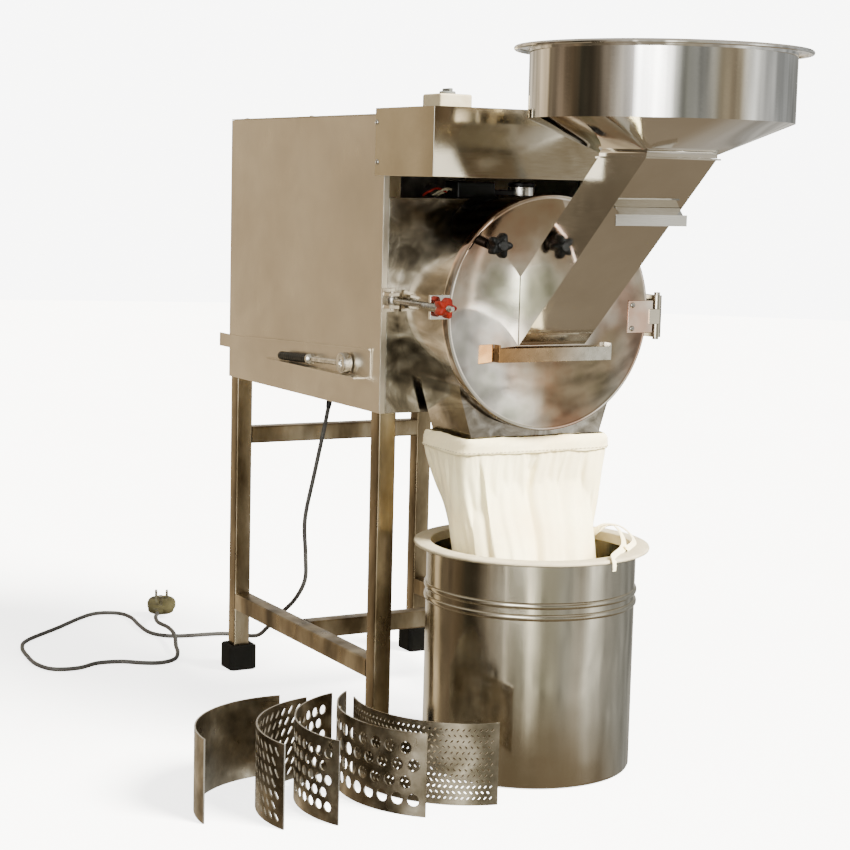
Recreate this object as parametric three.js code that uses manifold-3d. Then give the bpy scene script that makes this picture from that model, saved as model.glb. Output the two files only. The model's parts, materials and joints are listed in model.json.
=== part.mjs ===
// Hammer mill: a belt-driven swing-hammer grinder in a sheet-steel cabinet on a square-tube stand, with a
// round hinged door that carries the feed chute and hopper, a cloth collecting bag that hangs into a steel
// bin, five loose sieves and a mains cord. Millimetres, +Z up, the door faces -Y, the floor is z = 0.
import * as THREE from "three";
import { mergeVertices } from "three/addons/utils/BufferGeometryUtils.js";
import Module from "manifold-3d";

const wasm = await Module();
wasm.setup();

// ---------------------------------------------------------------------------------------------------
// Driving dimensions
// ---------------------------------------------------------------------------------------------------
const GAP = 0.3; // left between pieces that touch
const CENTRE_X = 152.75; // the mill's own centre plane, from the middle of the whole set
const CENTRE_Y = 0; // the cabinet's front face, from the middle of the whole set

// stand
const TUBE = 25; // square tube, outside
const TUBE_WALL = 1.5;
const LEG_X = 153.5; // tube centre
const FRONT_LEG_Y = 15.5;
const REAR_LEG_Y = 475;
const FOOT = 44;
const FOOT_HEIGHT = 38;
const LOWER_RAIL_Z = 105; // tube centre
const UPPER_RAIL_Z = 358.5;
const CROSS_RAIL_Y = 262.5;

// cabinet
const HALF_WIDTH = 168;
const DEPTH = 491;
const SHEET = 1.5;
const CABINET_BOTTOM = 446;
const CABINET_TOP = 827;
const HOOD_FRONT = -130;
const HOOD_BACK = 24;
const HOOD_BOTTOM = 749;
const HOOD_TOP = 834;
const WINDOW_BOTTOM = 722; // top edge of the front panel, under the hood

// grinding drum
const AXIS_Z = 582.5;
const DRUM_RADIUS = 146;
const DRUM_WALL = 3;
const DRUM_FRONT = -121.7;
const DRUM_BACK = -0.3;
const BACK_PLATE = 4;
const SPOUT_BOTTOM = 395;
const SPOUT_TOP = 520;
const SPOUT_FRONT = -112;
const SPOUT_BACK = -12;

// door
const DOOR_RADIUS = 148;
const DOOR_FRONT = -136;
const HINGE = [166, -131];

// feed chute and hopper
const CHUTE_LEFT = -45;
const CHUTE_RIGHT = 53;
const CHUTE_SLOPE = 0.9; // rise over run
const CHUTE_TOP = 777;
const HOPPER = [2, -354];
const HOPPER_RADIUS = 152;
const RIM_RADIUS = 170;
const HOPPER_TOP = 899.4;
const HOPPER_BOTTOM = 817.7;

// rotor and drive
const PIN_CIRCLE = 72;
const HAMMER_REACH = 56;
const MOTOR_Z = 732;
const ROTOR_PULLEY = 42;
const MOTOR_PULLEY = 57;
const PULLEY_Y = [180, 200];

// collecting bin and bag
const BIN = [1, -107];
const BIN_RADIUS = 134.4;
const BIN_HEIGHT = 282.5;
const RING_RADIUS = 151.4;

// sieves
const SIEVE_RADIUS = 140;
const SIEVE_THICKNESS = 2;
const SIEVE_HEIGHT = 101;

// cord
const CORD_RADIUS = 3.4;
const GLAND = [-25, 435];

// ---------------------------------------------------------------------------------------------------
// Materials
// ---------------------------------------------------------------------------------------------------
function steel(color, roughness) {
  return new THREE.MeshStandardMaterial({ color, roughness, metalness: 1 });
}

function dielectric(color, roughness) {
  return new THREE.MeshStandardMaterial({ color, roughness, metalness: 0 });
}

const polished = () => steel(0xd8d4cc, 0.1);
const brushed = () => steel(0xb3a88f, 0.35);
const frameSteel = () => steel(0x8f8266, 0.4);
const castIron = () => steel(0x55524c, 0.6);
const rubber = () => dielectric(0x1b1a18, 0.85);
const blackPlastic = () => dielectric(0x17191a, 0.45);

// ---------------------------------------------------------------------------------------------------
// Solids
// ---------------------------------------------------------------------------------------------------
const machine = new THREE.Group();
machine.position.set(CENTRE_X, CENTRE_Y, 0);

function addMesh(name, geometry, material) {
  geometry.computeVertexNormals();
  const mesh = new THREE.Mesh(geometry, material);
  mesh.name = name;
  machine.add(mesh);
  return mesh;
}

// Joins equal vertices and drops the triangles that collapse when they meet.
function weld(geometry) {
  const bare = new THREE.BufferGeometry();
  const source = geometry.index ? geometry.toNonIndexed() : geometry;
  bare.setAttribute("position", source.getAttribute("position").clone());
  const merged = mergeVertices(bare, 1e-4);
  const index = merged.index.array;
  const kept = [];
  for (let i = 0; i < index.length; i += 3) {
    const [a, b, c] = [index[i], index[i + 1], index[i + 2]];
    if (a !== b && b !== c && c !== a) kept.push(a, b, c);
  }
  merged.setIndex(kept);
  return merged;
}

function solidOf(geometry) {
  const merged = weld(geometry);
  const mesh = new wasm.Mesh({
    numProp: 3,
    vertProperties: new Float32Array(merged.attributes.position.array),
    triVerts: new Uint32Array(merged.index.array),
  });
  return new wasm.Manifold(mesh);
}

function geometryOf(solid) {
  const { vertProperties, triVerts } = solid.getMesh();
  const geometry = new THREE.BufferGeometry();
  geometry.setAttribute("position", new THREE.BufferAttribute(vertProperties, 3));
  geometry.setIndex(new THREE.BufferAttribute(triVerts, 1));
  return geometry.toNonIndexed();
}

function join(...geometries) {
  const solids = geometries.map(solidOf);
  return geometryOf(solids.reduce((whole, next) => whole.add(next)));
}

function cut(geometry, ...tools) {
  const solids = tools.map(solidOf);
  return geometryOf(solids.reduce((whole, next) => whole.subtract(next), solidOf(geometry)));
}

// A box between two corners.
function box(x0, x1, y0, y1, z0, z1) {
  const geometry = new THREE.BoxGeometry(x1 - x0, y1 - y0, z1 - z0);
  return geometry.translate((x0 + x1) / 2, (y0 + y1) / 2, (z0 + z1) / 2);
}

function outline(points) {
  return new THREE.Shape(points.map(([a, b]) => new THREE.Vector2(a, b)));
}

const flat = (depth) => ({ depth, bevelEnabled: false, curveSegments: 6 });

// An outline drawn in (y, z), run along X.
function alongX(shape, x0, x1) {
  const turn = new THREE.Matrix4().makeBasis(
    new THREE.Vector3(0, 1, 0),
    new THREE.Vector3(0, 0, 1),
    new THREE.Vector3(1, 0, 0),
  );
  const geometry = new THREE.ExtrudeGeometry(shape, flat(x1 - x0));
  return geometry.applyMatrix4(turn).translate(x0, 0, 0);
}

// An outline drawn in (x, z), run along Y.
function alongY(shape, y0, y1) {
  const geometry = new THREE.ExtrudeGeometry(shape, flat(y1 - y0));
  return geometry.rotateX(Math.PI / 2).translate(0, y1, 0);
}

// An outline drawn in (x, y), run along Z.
function alongZ(shape, z0, z1) {
  return new THREE.ExtrudeGeometry(shape, flat(z1 - z0)).translate(0, 0, z0);
}

// A profile of [radius, height] points turned about Z at (x, y).
function turnedZ(points, x, y, segments) {
  const vectors = points.map(([r, h]) => new THREE.Vector2(r, h));
  let area = 0;
  vectors.forEach((p, i) => {
    const q = vectors[(i + 1) % vectors.length];
    area += p.x * q.y - q.x * p.y;
  });
  if (area < 0) vectors.reverse();
  return new THREE.LatheGeometry(vectors, segments).rotateX(Math.PI / 2).translate(x, y, 0);
}

// A profile of [radius, y] points turned about the line through (x, z) along Y.
function turnedY(points, x, z, segments) {
  const upright = turnedZ(
    points.map(([r, y]) => [r, -y]),
    0,
    0,
    segments,
  );
  return upright.rotateX(Math.PI / 2).translate(x, 0, z);
}

const ring = (inner, outer, low, high) => [
  [inner, low],
  [outer, low],
  [outer, high],
  [inner, high],
  [inner, low],
];

const disc = (radius, low, high) => [
  [0, low],
  [radius, low],
  [radius, high],
  [0, high],
];

// A skin through rings of [x, y, z] points. Rings that loop join the last to the first.
function skin(rings, loops) {
  const count = rings[0].length;
  const corners = [];
  const last = loops ? rings.length : rings.length - 1;
  for (let i = 0; i < last; i += 1) {
    const low = rings[i];
    const high = rings[(i + 1) % rings.length];
    for (let j = 0; j < count; j += 1) {
      const k = (j + 1) % count;
      corners.push(...low[j], ...low[k], ...high[k]);
      corners.push(...low[j], ...high[k], ...high[j]);
    }
  }
  const geometry = new THREE.BufferGeometry();
  geometry.setAttribute("position", new THREE.Float32BufferAttribute(corners, 3));
  return geometry;
}

// ---------------------------------------------------------------------------------------------------
// Stand
// ---------------------------------------------------------------------------------------------------
function tubeOutline(a, b) {
  const h = TUBE / 2;
  const w = h - TUBE_WALL;
  const square = (s) => [
    [a - s, b - s],
    [a + s, b - s],
    [a + s, b + s],
    [a - s, b + s],
  ];
  const shape = outline(square(h));
  shape.holes.push(outline(square(w)));
  return shape;
}

function addStand() {
  const half = TUBE / 2;
  for (const [side, x] of [["left", -LEG_X], ["right", LEG_X]]) {
    for (const [end, y] of [["front", FRONT_LEG_Y], ["rear", REAR_LEG_Y]]) {
      const leg = alongZ(tubeOutline(x, y), 10 + GAP, CABINET_TOP - 3);
      addMesh(`leg_${end}_${side}`, leg, frameSteel());
      addMesh(`foot_${end}_${side}`, footCap(x, y), rubber());
    }
    const rail = alongY(tubeOutline(x, LOWER_RAIL_Z), FRONT_LEG_Y + half + GAP, REAR_LEG_Y - half - GAP);
    addMesh(`lower_rail_${side}`, rail, frameSteel());
  }
  const reach = LEG_X - half - GAP;
  const cross = alongX(tubeOutline(CROSS_RAIL_Y, LOWER_RAIL_Z), -reach, reach);
  const upper = alongX(tubeOutline(REAR_LEG_Y, UPPER_RAIL_Z), -reach, reach);
  addMesh("lower_cross_rail", cross, frameSteel());
  addMesh("upper_rear_rail", upper, frameSteel());
}

// A moulded cap: a block with cut corners and a square socket for the leg.
function footCap(x, y) {
  const h = FOOT / 2;
  const c = 5;
  const block = outline([
    [x - h + c, y - h],
    [x + h - c, y - h],
    [x + h, y - h + c],
    [x + h, y + h - c],
    [x + h - c, y + h],
    [x - h + c, y + h],
    [x - h, y + h - c],
    [x - h, y - h + c],
  ]);
  const socket = TUBE / 2 + GAP;
  const hole = box(x - socket, x + socket, y - socket, y + socket, 10, FOOT_HEIGHT + 1);
  return cut(alongZ(block, 0, FOOT_HEIGHT), hole);
}

// ---------------------------------------------------------------------------------------------------
// Cabinet
// ---------------------------------------------------------------------------------------------------
function addCabinet() {
  const inner = HALF_WIDTH - SHEET;
  const flange = 8;
  const top = CABINET_TOP - SHEET - GAP;
  for (const [name, s] of [["left_side_panel", -1], ["right_side_panel", 1]]) {
    const profile = [
      [s * HALF_WIDTH, 0],
      [s * (HALF_WIDTH - flange), 0],
      [s * (HALF_WIDTH - flange), SHEET],
      [s * inner, SHEET],
      [s * inner, DEPTH],
      [s * HALF_WIDTH, DEPTH],
    ];
    addMesh(name, alongZ(outline(profile), CABINET_BOTTOM, top), brushed());
  }

  const rear = outline([
    [-inner + GAP, CABINET_BOTTOM],
    [inner - GAP, CABINET_BOTTOM],
    [inner - GAP, top],
    [-inner + GAP, top],
  ]);
  for (let i = 0; i < 6; i += 1) {
    const z = 600 + i * 24;
    rear.holes.push(outline([[-70, z], [70, z], [70, z + 7], [-70, z + 7]]));
  }
  addMesh("rear_panel", alongY(rear, DEPTH - SHEET, DEPTH), brushed());

  const cover = box(-HALF_WIDTH, HALF_WIDTH, 2, DEPTH, CABINET_TOP - SHEET, CABINET_TOP);
  addMesh("top_cover", cover, brushed());

  // The hood laps over the cabinet's front corner and overhangs the drum; it is open below and behind.
  const out = HALF_WIDTH + GAP + SHEET;
  const shell = box(-out, out, HOOD_FRONT, HOOD_BACK, HOOD_BOTTOM, HOOD_TOP);
  const room = box(
    -out + SHEET,
    out - SHEET,
    HOOD_FRONT + SHEET,
    HOOD_BACK + 5,
    HOOD_BOTTOM - 5,
    HOOD_TOP - SHEET,
  );
  addMesh("hood", cut(shell, room), polished());

  // Front panel with the shaft hole and a top edge folded back into a narrow shelf.
  const side = HALF_WIDTH - flange - GAP;
  const face = box(-side, side, 0, SHEET, CABINET_BOTTOM, WINDOW_BOTTOM);
  const shelf = box(-side + 22, side - 22, 0, 46, WINDOW_BOTTOM - SHEET, WINDOW_BOTTOM);
  const shaftHole = turnedY(disc(26, -10, 10), 0, AXIS_Z, 32);
  addMesh("front_panel", cut(join(face, shelf), shaftHole), polished());

  // Floor pan, its corners cut away for the four legs, with the hole for the cord gland.
  const edge = inner - GAP;
  const corner = LEG_X - TUBE / 2 - 1;
  const front = FRONT_LEG_Y + TUBE / 2 + 1;
  const back = REAR_LEG_Y - TUBE / 2 - 1;
  const end = DEPTH - SHEET - GAP;
  const pan = outline([
    [-corner, 2],
    [corner, 2],
    [corner, front],
    [edge, front],
    [edge, back],
    [corner, back],
    [corner, end],
    [-corner, end],
    [-corner, back],
    [-edge, back],
    [-edge, front],
    [-corner, front],
  ]);
  const glandHole = new THREE.Path();
  glandHole.absarc(GLAND[0], GLAND[1], 7.3, 0, Math.PI * 2, true);
  pan.holes.push(glandHole);
  addMesh("floor_pan", alongZ(pan, CABINET_BOTTOM, CABINET_BOTTOM + SHEET), brushed());
}

// Mains switch on the cover, run capacitor in the window, tool ledge and socket spanner on the left side.
function addFittings() {
  const z = CABINET_TOP + GAP;
  addMesh("switch_base", box(-40, 10, 90, 140, z, 860), dielectric(0xe6dfc8, 0.5));
  const knob = join(
    turnedZ(disc(11, 860 + GAP, 864), -15, 115, 24),
    box(-18, -12, 105, 125, 860 + GAP, 868),
  );
  addMesh("switch_knob", knob, dielectric(0x6b6d6a, 0.5));

  const capacitor = join(
    box(-57, 0, 6, 42, WINDOW_BOTTOM + GAP, WINDOW_BOTTOM + 22),
    box(-1, 34, 16, 32, WINDOW_BOTTOM + GAP, WINDOW_BOTTOM + 12),
    turnedZ(disc(18, WINDOW_BOTTOM + GAP, WINDOW_BOTTOM + 22), 50, 24, 24),
  );
  addMesh("capacitor", capacitor, blackPlastic());

  const x = -HALF_WIDTH - GAP;
  const crease = outline([
    [25, 525],
    [430, 508.5],
    [430, 511],
    [25, 527.5],
  ]);
  const ledge = join(
    box(x - SHEET, x, 25, 524, 489, 509),
    alongX(outline([[25, 505], [430, 505], [430, 511], [25, 527.5]]), x - SHEET, x),
    alongX(crease, x - 4, x),
    box(x - 18, x, 40, 320, 487, 489.2),
  );
  addMesh("tool_ledge", ledge, brushed());

  const grip = new THREE.CylinderGeometry(6, 6, 92, 12).translate(0, 154, 0);
  const shank = new THREE.CylinderGeometry(4.5, 4.5, 120, 10).translate(0, 55, 0);
  const collar = new THREE.CylinderGeometry(7.5, 7.5, 8, 12).translate(0, 104, 0);
  const head = new THREE.CylinderGeometry(14, 14, 12, 20).rotateZ(Math.PI / 2);
  const socket = new THREE.CylinderGeometry(8, 8, 20, 6).rotateZ(Math.PI / 2);
  const tool = cut(join(grip, shank, collar, head), socket);
  tool.rotateX(-0.04).translate(-HALF_WIDTH - 9.5, 84, 503.8);
  addMesh("socket_spanner", tool, steel(0xc9c6bd, 0.25));
}

// ---------------------------------------------------------------------------------------------------
// Grinding drum
// ---------------------------------------------------------------------------------------------------
// The discharge spout's section in (x, z): nearly straight where the bag ties on, flared above.
function spoutBlock(inset, low, high, y0, y1) {
  const rightSide = [
    [94 - inset, low],
    [96.5 - inset, 428],
    [112 - inset, 478],
    [120 - inset, high],
  ];
  const leftSide = rightSide.map(([x, z]) => [-x, z]).reverse();
  return alongY(outline([...rightSide, ...leftSide]), y0, y1);
}

function addDrum() {
  const inner = DRUM_RADIUS - DRUM_WALL;
  const barrel = turnedY(disc(DRUM_RADIUS, DRUM_FRONT, DRUM_BACK), 0, AXIS_Z, 48);
  const bore = turnedY(disc(inner, DRUM_FRONT - 5, DRUM_BACK - BACK_PLATE), 0, AXIS_Z, 48);
  const spout = spoutBlock(0, SPOUT_BOTTOM, SPOUT_TOP, SPOUT_FRONT, SPOUT_BACK);
  const passage = spoutBlock(2, SPOUT_BOTTOM - 5, SPOUT_TOP, SPOUT_FRONT + 2, SPOUT_BACK - 2);
  const shaftHole = turnedY(disc(13, -10, 10), 0, AXIS_Z, 24);
  addMesh("drum_housing", cut(join(barrel, spout), bore, passage, shaftHole), polished());

  const from = THREE.MathUtils.degToRad(221);
  const to = THREE.MathUtils.degToRad(319);
  const arc = arcOutline(0, AXIS_Z, from, to, 20);
  addMesh("fitted_sieve", alongY(arc, -117, -117 + SIEVE_HEIGHT), brushed());
}

// The outline of a thin arc about (a, b).
function arcOutline(a, b, from, to, steps) {
  const points = [];
  for (let i = 0; i <= steps; i += 1) {
    const t = from + ((to - from) * i) / steps;
    points.push([a + SIEVE_RADIUS * Math.cos(t), b + SIEVE_RADIUS * Math.sin(t)]);
  }
  const inside = SIEVE_RADIUS - SIEVE_THICKNESS;
  for (let i = steps; i >= 0; i -= 1) {
    const t = from + ((to - from) * i) / steps;
    points.push([a + inside * Math.cos(t), b + inside * Math.sin(t)]);
  }
  return outline(points);
}

// ---------------------------------------------------------------------------------------------------
// Rotor and drive
// ---------------------------------------------------------------------------------------------------
function addRotor() {
  const housing = [
    [23.9, 2],
    [52, 2],
    [52, 12],
    [33, 12],
    [33, 150],
    [23.9, 150],
    [23.9, 2],
  ];
  addMesh("bearing_housing", turnedY(housing, 0, AXIS_Z, 24), castIron());
  for (const [name, y] of [["bearing_front", 8], ["bearing_rear", 130]]) {
    const bearing = turnedY(ring(10.6, 23.2, y, y + 14), 0, AXIS_Z, 16);
    addMesh(name, bearing, polished());
  }

  // Shaft, hub, three discs and the four hammer pins turn as one piece.
  const shaft = turnedY(disc(10, -80, 205), 0, AXIS_Z, 12);
  const hub = turnedY(disc(22, -72, -31), 0, AXIS_Z, 12);
  const pieces = [shaft, hub];
  for (const y of [-36, -53, -70]) {
    pieces.push(turnedY(disc(84, y, y + 3), 0, AXIS_Z, 24));
  }
  for (const [px, pz] of hammerPins()) {
    pieces.push(turnedY(disc(4, -72, -31), px, pz, 8));
  }
  addMesh("rotor", join(...pieces), castIron());

  const layers = [-47, -64, -47, -64];
  hammerPins().forEach(([px, pz], i) => {
    addMesh(`hammer_${i + 1}`, hammer(px, pz, layers[i]), steel(0x6a675f, 0.5));
  });
}

// The four pins, counter-clockwise from the upper right.
function hammerPins() {
  const step = PIN_CIRCLE * Math.SQRT1_2;
  return [
    [step, AXIS_Z + step],
    [-step, AXIS_Z + step],
    [-step, AXIS_Z - step],
    [step, AXIS_Z - step],
  ];
}

// A flat beater that hangs from its pin.
function hammer(px, pz, y) {
  const body = outline([
    [px - 10, pz - HAMMER_REACH],
    [px + 10, pz - HAMMER_REACH],
    [px + 10, pz + 5],
    [px + 5, pz + 10],
    [px - 5, pz + 10],
    [px - 10, pz + 5],
  ]);
  const eye = new THREE.Path();
  eye.absarc(px, pz, 4.4, 0, Math.PI * 2, true);
  body.holes.push(eye);
  return alongY(body, y, y + 8);
}

function addDrive() {
  const pulley = (radius, bore) => {
    const [y0, y1] = PULLEY_Y;
    const mid = (y0 + y1) / 2;
    return [
      [bore, y0],
      [radius, y0],
      [radius, mid - 7],
      [radius - 8, mid - 5],
      [radius - 8, mid + 5],
      [radius, mid + 7],
      [radius, y1],
      [bore, y1],
      [bore, y0],
    ];
  };
  const driven = turnedY(pulley(ROTOR_PULLEY, 10.6), 0, AXIS_Z, 24);
  addMesh("rotor_pulley", driven, castIron());

  const driving = join(
    turnedY(pulley(MOTOR_PULLEY, 9), 0, MOTOR_Z, 24),
    turnedY(disc(9.5, 176, 232), 0, MOTOR_Z, 12),
  );
  addMesh("motor_pulley", driving, castIron());

  addMesh("v_belt", beltLoop(), rubber());
  addMotor();
}

// Belt round both pulleys: two arcs joined by their common tangents, a little outside the groove floors.
function beltLoop() {
  const distance = MOTOR_Z - AXIS_Z;
  const loop = (offset) => {
    const low = ROTOR_PULLEY - 8 + offset;
    const high = MOTOR_PULLEY - 8 + offset;
    const lean = Math.asin((high - low) / distance);
    const points = [];
    for (let i = 0; i <= 16; i += 1) {
      const t = -lean + (Math.PI + 2 * lean) * (i / 16);
      points.push([high * Math.cos(t), MOTOR_Z + high * Math.sin(t)]);
    }
    for (let i = 0; i <= 12; i += 1) {
      const t = Math.PI + lean + (Math.PI - 2 * lean) * (i / 12);
      points.push([low * Math.cos(t), AXIS_Z + low * Math.sin(t)]);
    }
    return points;
  };
  const shape = outline(loop(6.8));
  shape.holes.push(outline(loop(1)));
  return alongY(shape, 185.6, 194.4);
}

function addMotor() {
  const body = [
    [10.3, 216],
    [40, 216],
    [74, 228],
    [78, 232],
    [78, 400],
    [70, 404],
    [70, 436],
    [0, 436],
    [0, 236],
    [10.3, 236],
    [10.3, 216],
  ];
  const bedTop = 650;
  const feet = box(-62, 62, 250, 380, bedTop + GAP, bedTop + 12);
  const saddle = box(-40, 40, 250, 380, bedTop + 5, MOTOR_Z - 60);
  const terminalBox = box(70, 96, 280, 350, MOTOR_Z - 20, MOTOR_Z + 36);
  addMesh("motor", join(turnedY(body, 0, MOTOR_Z, 24), feet, saddle, terminalBox), steel(0x4f6470, 0.5));

  // Bed: a cross plate with its two long edges folded down, held by the side panels.
  const reach = HALF_WIDTH - SHEET - GAP;
  const profile = [
    [215, bedTop],
    [215, bedTop - 25],
    [218, bedTop - 25],
    [218, bedTop - 3],
    [442, bedTop - 3],
    [442, bedTop - 25],
    [445, bedTop - 25],
    [445, bedTop],
  ];
  addMesh("motor_bed", alongX(outline(profile), -reach, reach), frameSteel());
}

// ---------------------------------------------------------------------------------------------------
// Door with its hinge, latch, knob and inlet
// ---------------------------------------------------------------------------------------------------
function addDoor() {
  const rimBack = DRUM_FRONT - GAP - 0.3;
  const dish = [
    [0, DOOR_FRONT],
    [DOOR_RADIUS - 3, DOOR_FRONT],
    [DOOR_RADIUS, DOOR_FRONT + 3],
    [DOOR_RADIUS, rimBack],
    [DOOR_RADIUS - 3, rimBack],
    [DOOR_RADIUS - 3, DOOR_FRONT + 3],
    [0, DOOR_FRONT + 3],
  ];
  const plate = turnedY(dish, 0, AXIS_Z, 48);
  const inlet = box(CHUTE_LEFT + 2, CHUTE_RIGHT - 2, -150, -120, 546, 626);
  const [hx, hy] = HINGE;
  const leaf = join(
    box(112, 157, DOOR_FRONT - 3, DOOR_FRONT + 1, 552, 602),
    box(150, hx, DOOR_FRONT - 3, DOOR_FRONT + 1, 567.3, 586.7),
    turnedZ(disc(6.5, 567.3, 586.7), hx, hy, 16),
  );
  const lug = box(-172, -144, DOOR_FRONT, DOOR_FRONT + 5, 577, 607);
  const slot = box(-180, -153, DOOR_FRONT - 5, DOOR_FRONT + 10, 587, 597);
  const pinHole = turnedZ(disc(4.3, 540, 620), hx, hy, 16);
  addMesh("door", cut(join(plate, leaf, lug), inlet, slot, pinHole), polished());

  // Fixed half of the hinge: two knuckles on arms from a block on the drum, with the pin through them.
  const block = join(box(146.6, 172, -118, -96, 550, 604), box(140, 150, -110, -96, 556, 600));
  const drumSide = turnedY(disc(DRUM_RADIUS + GAP, -130, -80), 0, AXIS_Z, 48);
  const arms = [cut(block, drumSide)];
  for (const [low, high] of [[550, 567], [587, 604]]) {
    arms.push(box(160, 172, hy, -100, low, high));
    arms.push(turnedZ(disc(6.5, low, high), hx, hy, 16));
  }
  const pin = turnedZ(disc(4, 547, 608), hx, hy, 16);
  addMesh("hinge_bracket", join(...arms, pin), brushed());
}

function addLatch() {
  const x = -160;
  const y = -14;
  const z = 592;
  const bracket = join(
    box(x - 8, x + 9, -3.3, -GAP, z - 15, z + 15),
    box(x - 7, x + 7, y - 6, -1, z - 10, z - 6),
    box(x - 7, x + 7, y - 6, -1, z + 6, z + 10),
    turnedZ(disc(3, z - 12, z + 12), x, y, 12),
  );
  addMesh("latch_bracket", bracket, brushed());

  const eye = turnedZ(ring(3.4, 7.2, z - 5.4, z + 5.4), x, y, 16);
  const rod = turnedY(disc(3.6, -170, y - 5), x, z, 12);
  addMesh("swing_bolt", join(eye, rod), steel(0x8a867c, 0.4));

  const knob = new THREE.Shape();
  const lobes = 5;
  const steps = 40;
  for (let i = 0; i < steps; i += 1) {
    const t = (i / steps) * Math.PI * 2;
    const r = 12.4 + 2.1 * Math.cos(lobes * t);
    if (i === 0) knob.moveTo(x + r * Math.cos(t), z + r * Math.sin(t));
    else knob.lineTo(x + r * Math.cos(t), z + r * Math.sin(t));
  }
  const bore = new THREE.Path();
  bore.absarc(x, z, 3.9, 0, Math.PI * 2, true);
  knob.holes.push(bore);
  addMesh("latch_knob", alongY(knob, -162, -142), dielectric(0xb8321f, 0.4));

  addStarKnob(-90, 668);
}

// Five-lobed clamping knob on a captive screw through the door's edge.
function addStarKnob(x, z) {
  const y = DOOR_FRONT - GAP;
  const star = new THREE.Shape();
  const steps = 50;
  for (let i = 0; i < steps; i += 1) {
    const t = (i / steps) * Math.PI * 2;
    const r = 13 + 3 * Math.cos(5 * t);
    if (i === 0) star.moveTo(x + r * Math.cos(t), z + r * Math.sin(t));
    else star.lineTo(x + r * Math.cos(t), z + r * Math.sin(t));
  }
  const stem = turnedY(disc(6, y - 18, y), x, z, 16);
  const cap = turnedY(disc(7, y - 33, y - 18), x, z, 16);
  addMesh("star_knob", join(alongY(star, y - 30, y - 15), stem, cap), blackPlastic());
}

// Channel under the inlet, with an upstand at each end.
function addInletBracket() {
  const back = DOOR_FRONT - GAP;
  const front = back - 14;
  const channel = join(
    box(-81, 85, front, back, 523.5, 525.5),
    box(-81, 85, front, front + 2, 523.5, 541),
    box(-81, -79, front, back, 523.5, 545.5),
    box(83, 85, front, back, 523.5, 545.5),
  );
  addMesh("inlet_bracket", channel, polished());
}

// ---------------------------------------------------------------------------------------------------
// Chute, slide gate and hopper
// ---------------------------------------------------------------------------------------------------
// Height of the chute's floor and roof where it meets the door, and the run of both up to the neck.
const CHUTE_END = DOOR_FRONT - GAP;
const FLOOR_AT_DOOR = 543.3;
const ROOF_AT_DOOR = 628.9;

function chuteSection(inset, end, top) {
  const drop = inset * Math.hypot(1, CHUTE_SLOPE);
  const low = FLOOR_AT_DOOR + drop - (end - CHUTE_END) * CHUTE_SLOPE;
  const high = ROOF_AT_DOOR - drop - (end - CHUTE_END) * CHUTE_SLOPE;
  return outline([
    [end, low],
    [end, high],
    [end - (top - high) / CHUTE_SLOPE, top],
    [end - (top - low) / CHUTE_SLOPE, top],
  ]);
}

// The neck's rectangle: [x0, x1, y0, y1].
const NECK = [
  CHUTE_LEFT,
  CHUTE_RIGHT,
  CHUTE_END - (CHUTE_TOP - FLOOR_AT_DOOR) / CHUTE_SLOPE,
  CHUTE_END - (CHUTE_TOP - ROOF_AT_DOOR) / CHUTE_SLOPE,
];

// The gate's plate runs square across the chute: out of the floor, forwards and down.
const GATE_ANGLE = Math.atan(CHUTE_SLOPE);
const GATE_OUT = [-Math.sin(GATE_ANGLE), -Math.cos(GATE_ANGLE)];
const GATE_ALONG = [-Math.cos(GATE_ANGLE), Math.sin(GATE_ANGLE)];
const GATE_MOUTH = [-332, FLOOR_AT_DOOR + (CHUTE_END + 332) * CHUTE_SLOPE];

// A point of the gate: distance out of the chute's floor, and along the chute.
function gatePoint(out, along) {
  return [
    GATE_MOUTH[0] + GATE_OUT[0] * out + GATE_ALONG[0] * along,
    GATE_MOUTH[1] + GATE_OUT[1] * out + GATE_ALONG[1] * along,
  ];
}

function addChute() {
  const outside = alongX(chuteSection(0, CHUTE_END, CHUTE_TOP), CHUTE_LEFT, CHUTE_RIGHT);
  const inside = alongX(chuteSection(1.6, CHUTE_END + 10, CHUTE_TOP + 10), CHUTE_LEFT + 1.6, CHUTE_RIGHT - 1.6);
  const slotSection = outline([
    gatePoint(8, -1.4),
    gatePoint(8, 1.4),
    gatePoint(-8, 1.4),
    gatePoint(-8, -1.4),
  ]);
  const slot = alongX(slotSection, CHUTE_LEFT + 1.6, CHUTE_RIGHT - 1.6);
  const [x0, x1, y0, y1] = NECK;
  const collar = box(x0 - 3, x1 + 3, y0 - 3, y1 + 3, CHUTE_TOP - 2, CHUTE_TOP);
  const mouth = box(x0 + 1.6, x1 - 1.6, y0 + 2.4, y1 - 2.4, CHUTE_TOP - 1.9, CHUTE_TOP + 5);
  const duct = cut(join(outside, collar), inside, slot, mouth);
  addMesh("feed_chute", duct, polished());

  const plate = alongX(
    outline([
      gatePoint(12, -0.8),
      gatePoint(12, 0.8),
      gatePoint(-59, 0.8),
      gatePoint(-59, -0.8),
    ]),
    CHUTE_LEFT + 4,
    CHUTE_RIGHT - 4,
  );
  const [ly, lz] = gatePoint(12, 0);
  const lip = box(CHUTE_LEFT - 1, CHUTE_RIGHT + 1, ly - 1.6, ly + 0.4, lz - 12, lz + 1);
  addMesh("slide_gate", join(plate, lip), polished());
}

// The square-to-round transition: each side of the neck opens into FLAT degrees of the circle either side of
// its middle, and what is left over closes on the neck's corner.
const HOPPER_STEPS = 40;
const FLAT = 33;

function circleRing(radius, z) {
  const points = [];
  for (let i = 0; i < HOPPER_STEPS; i += 1) {
    const t = (i / HOPPER_STEPS) * Math.PI * 2;
    points.push([HOPPER[0] + radius * Math.cos(t), HOPPER[1] + radius * Math.sin(t), z]);
  }
  return points;
}

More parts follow.
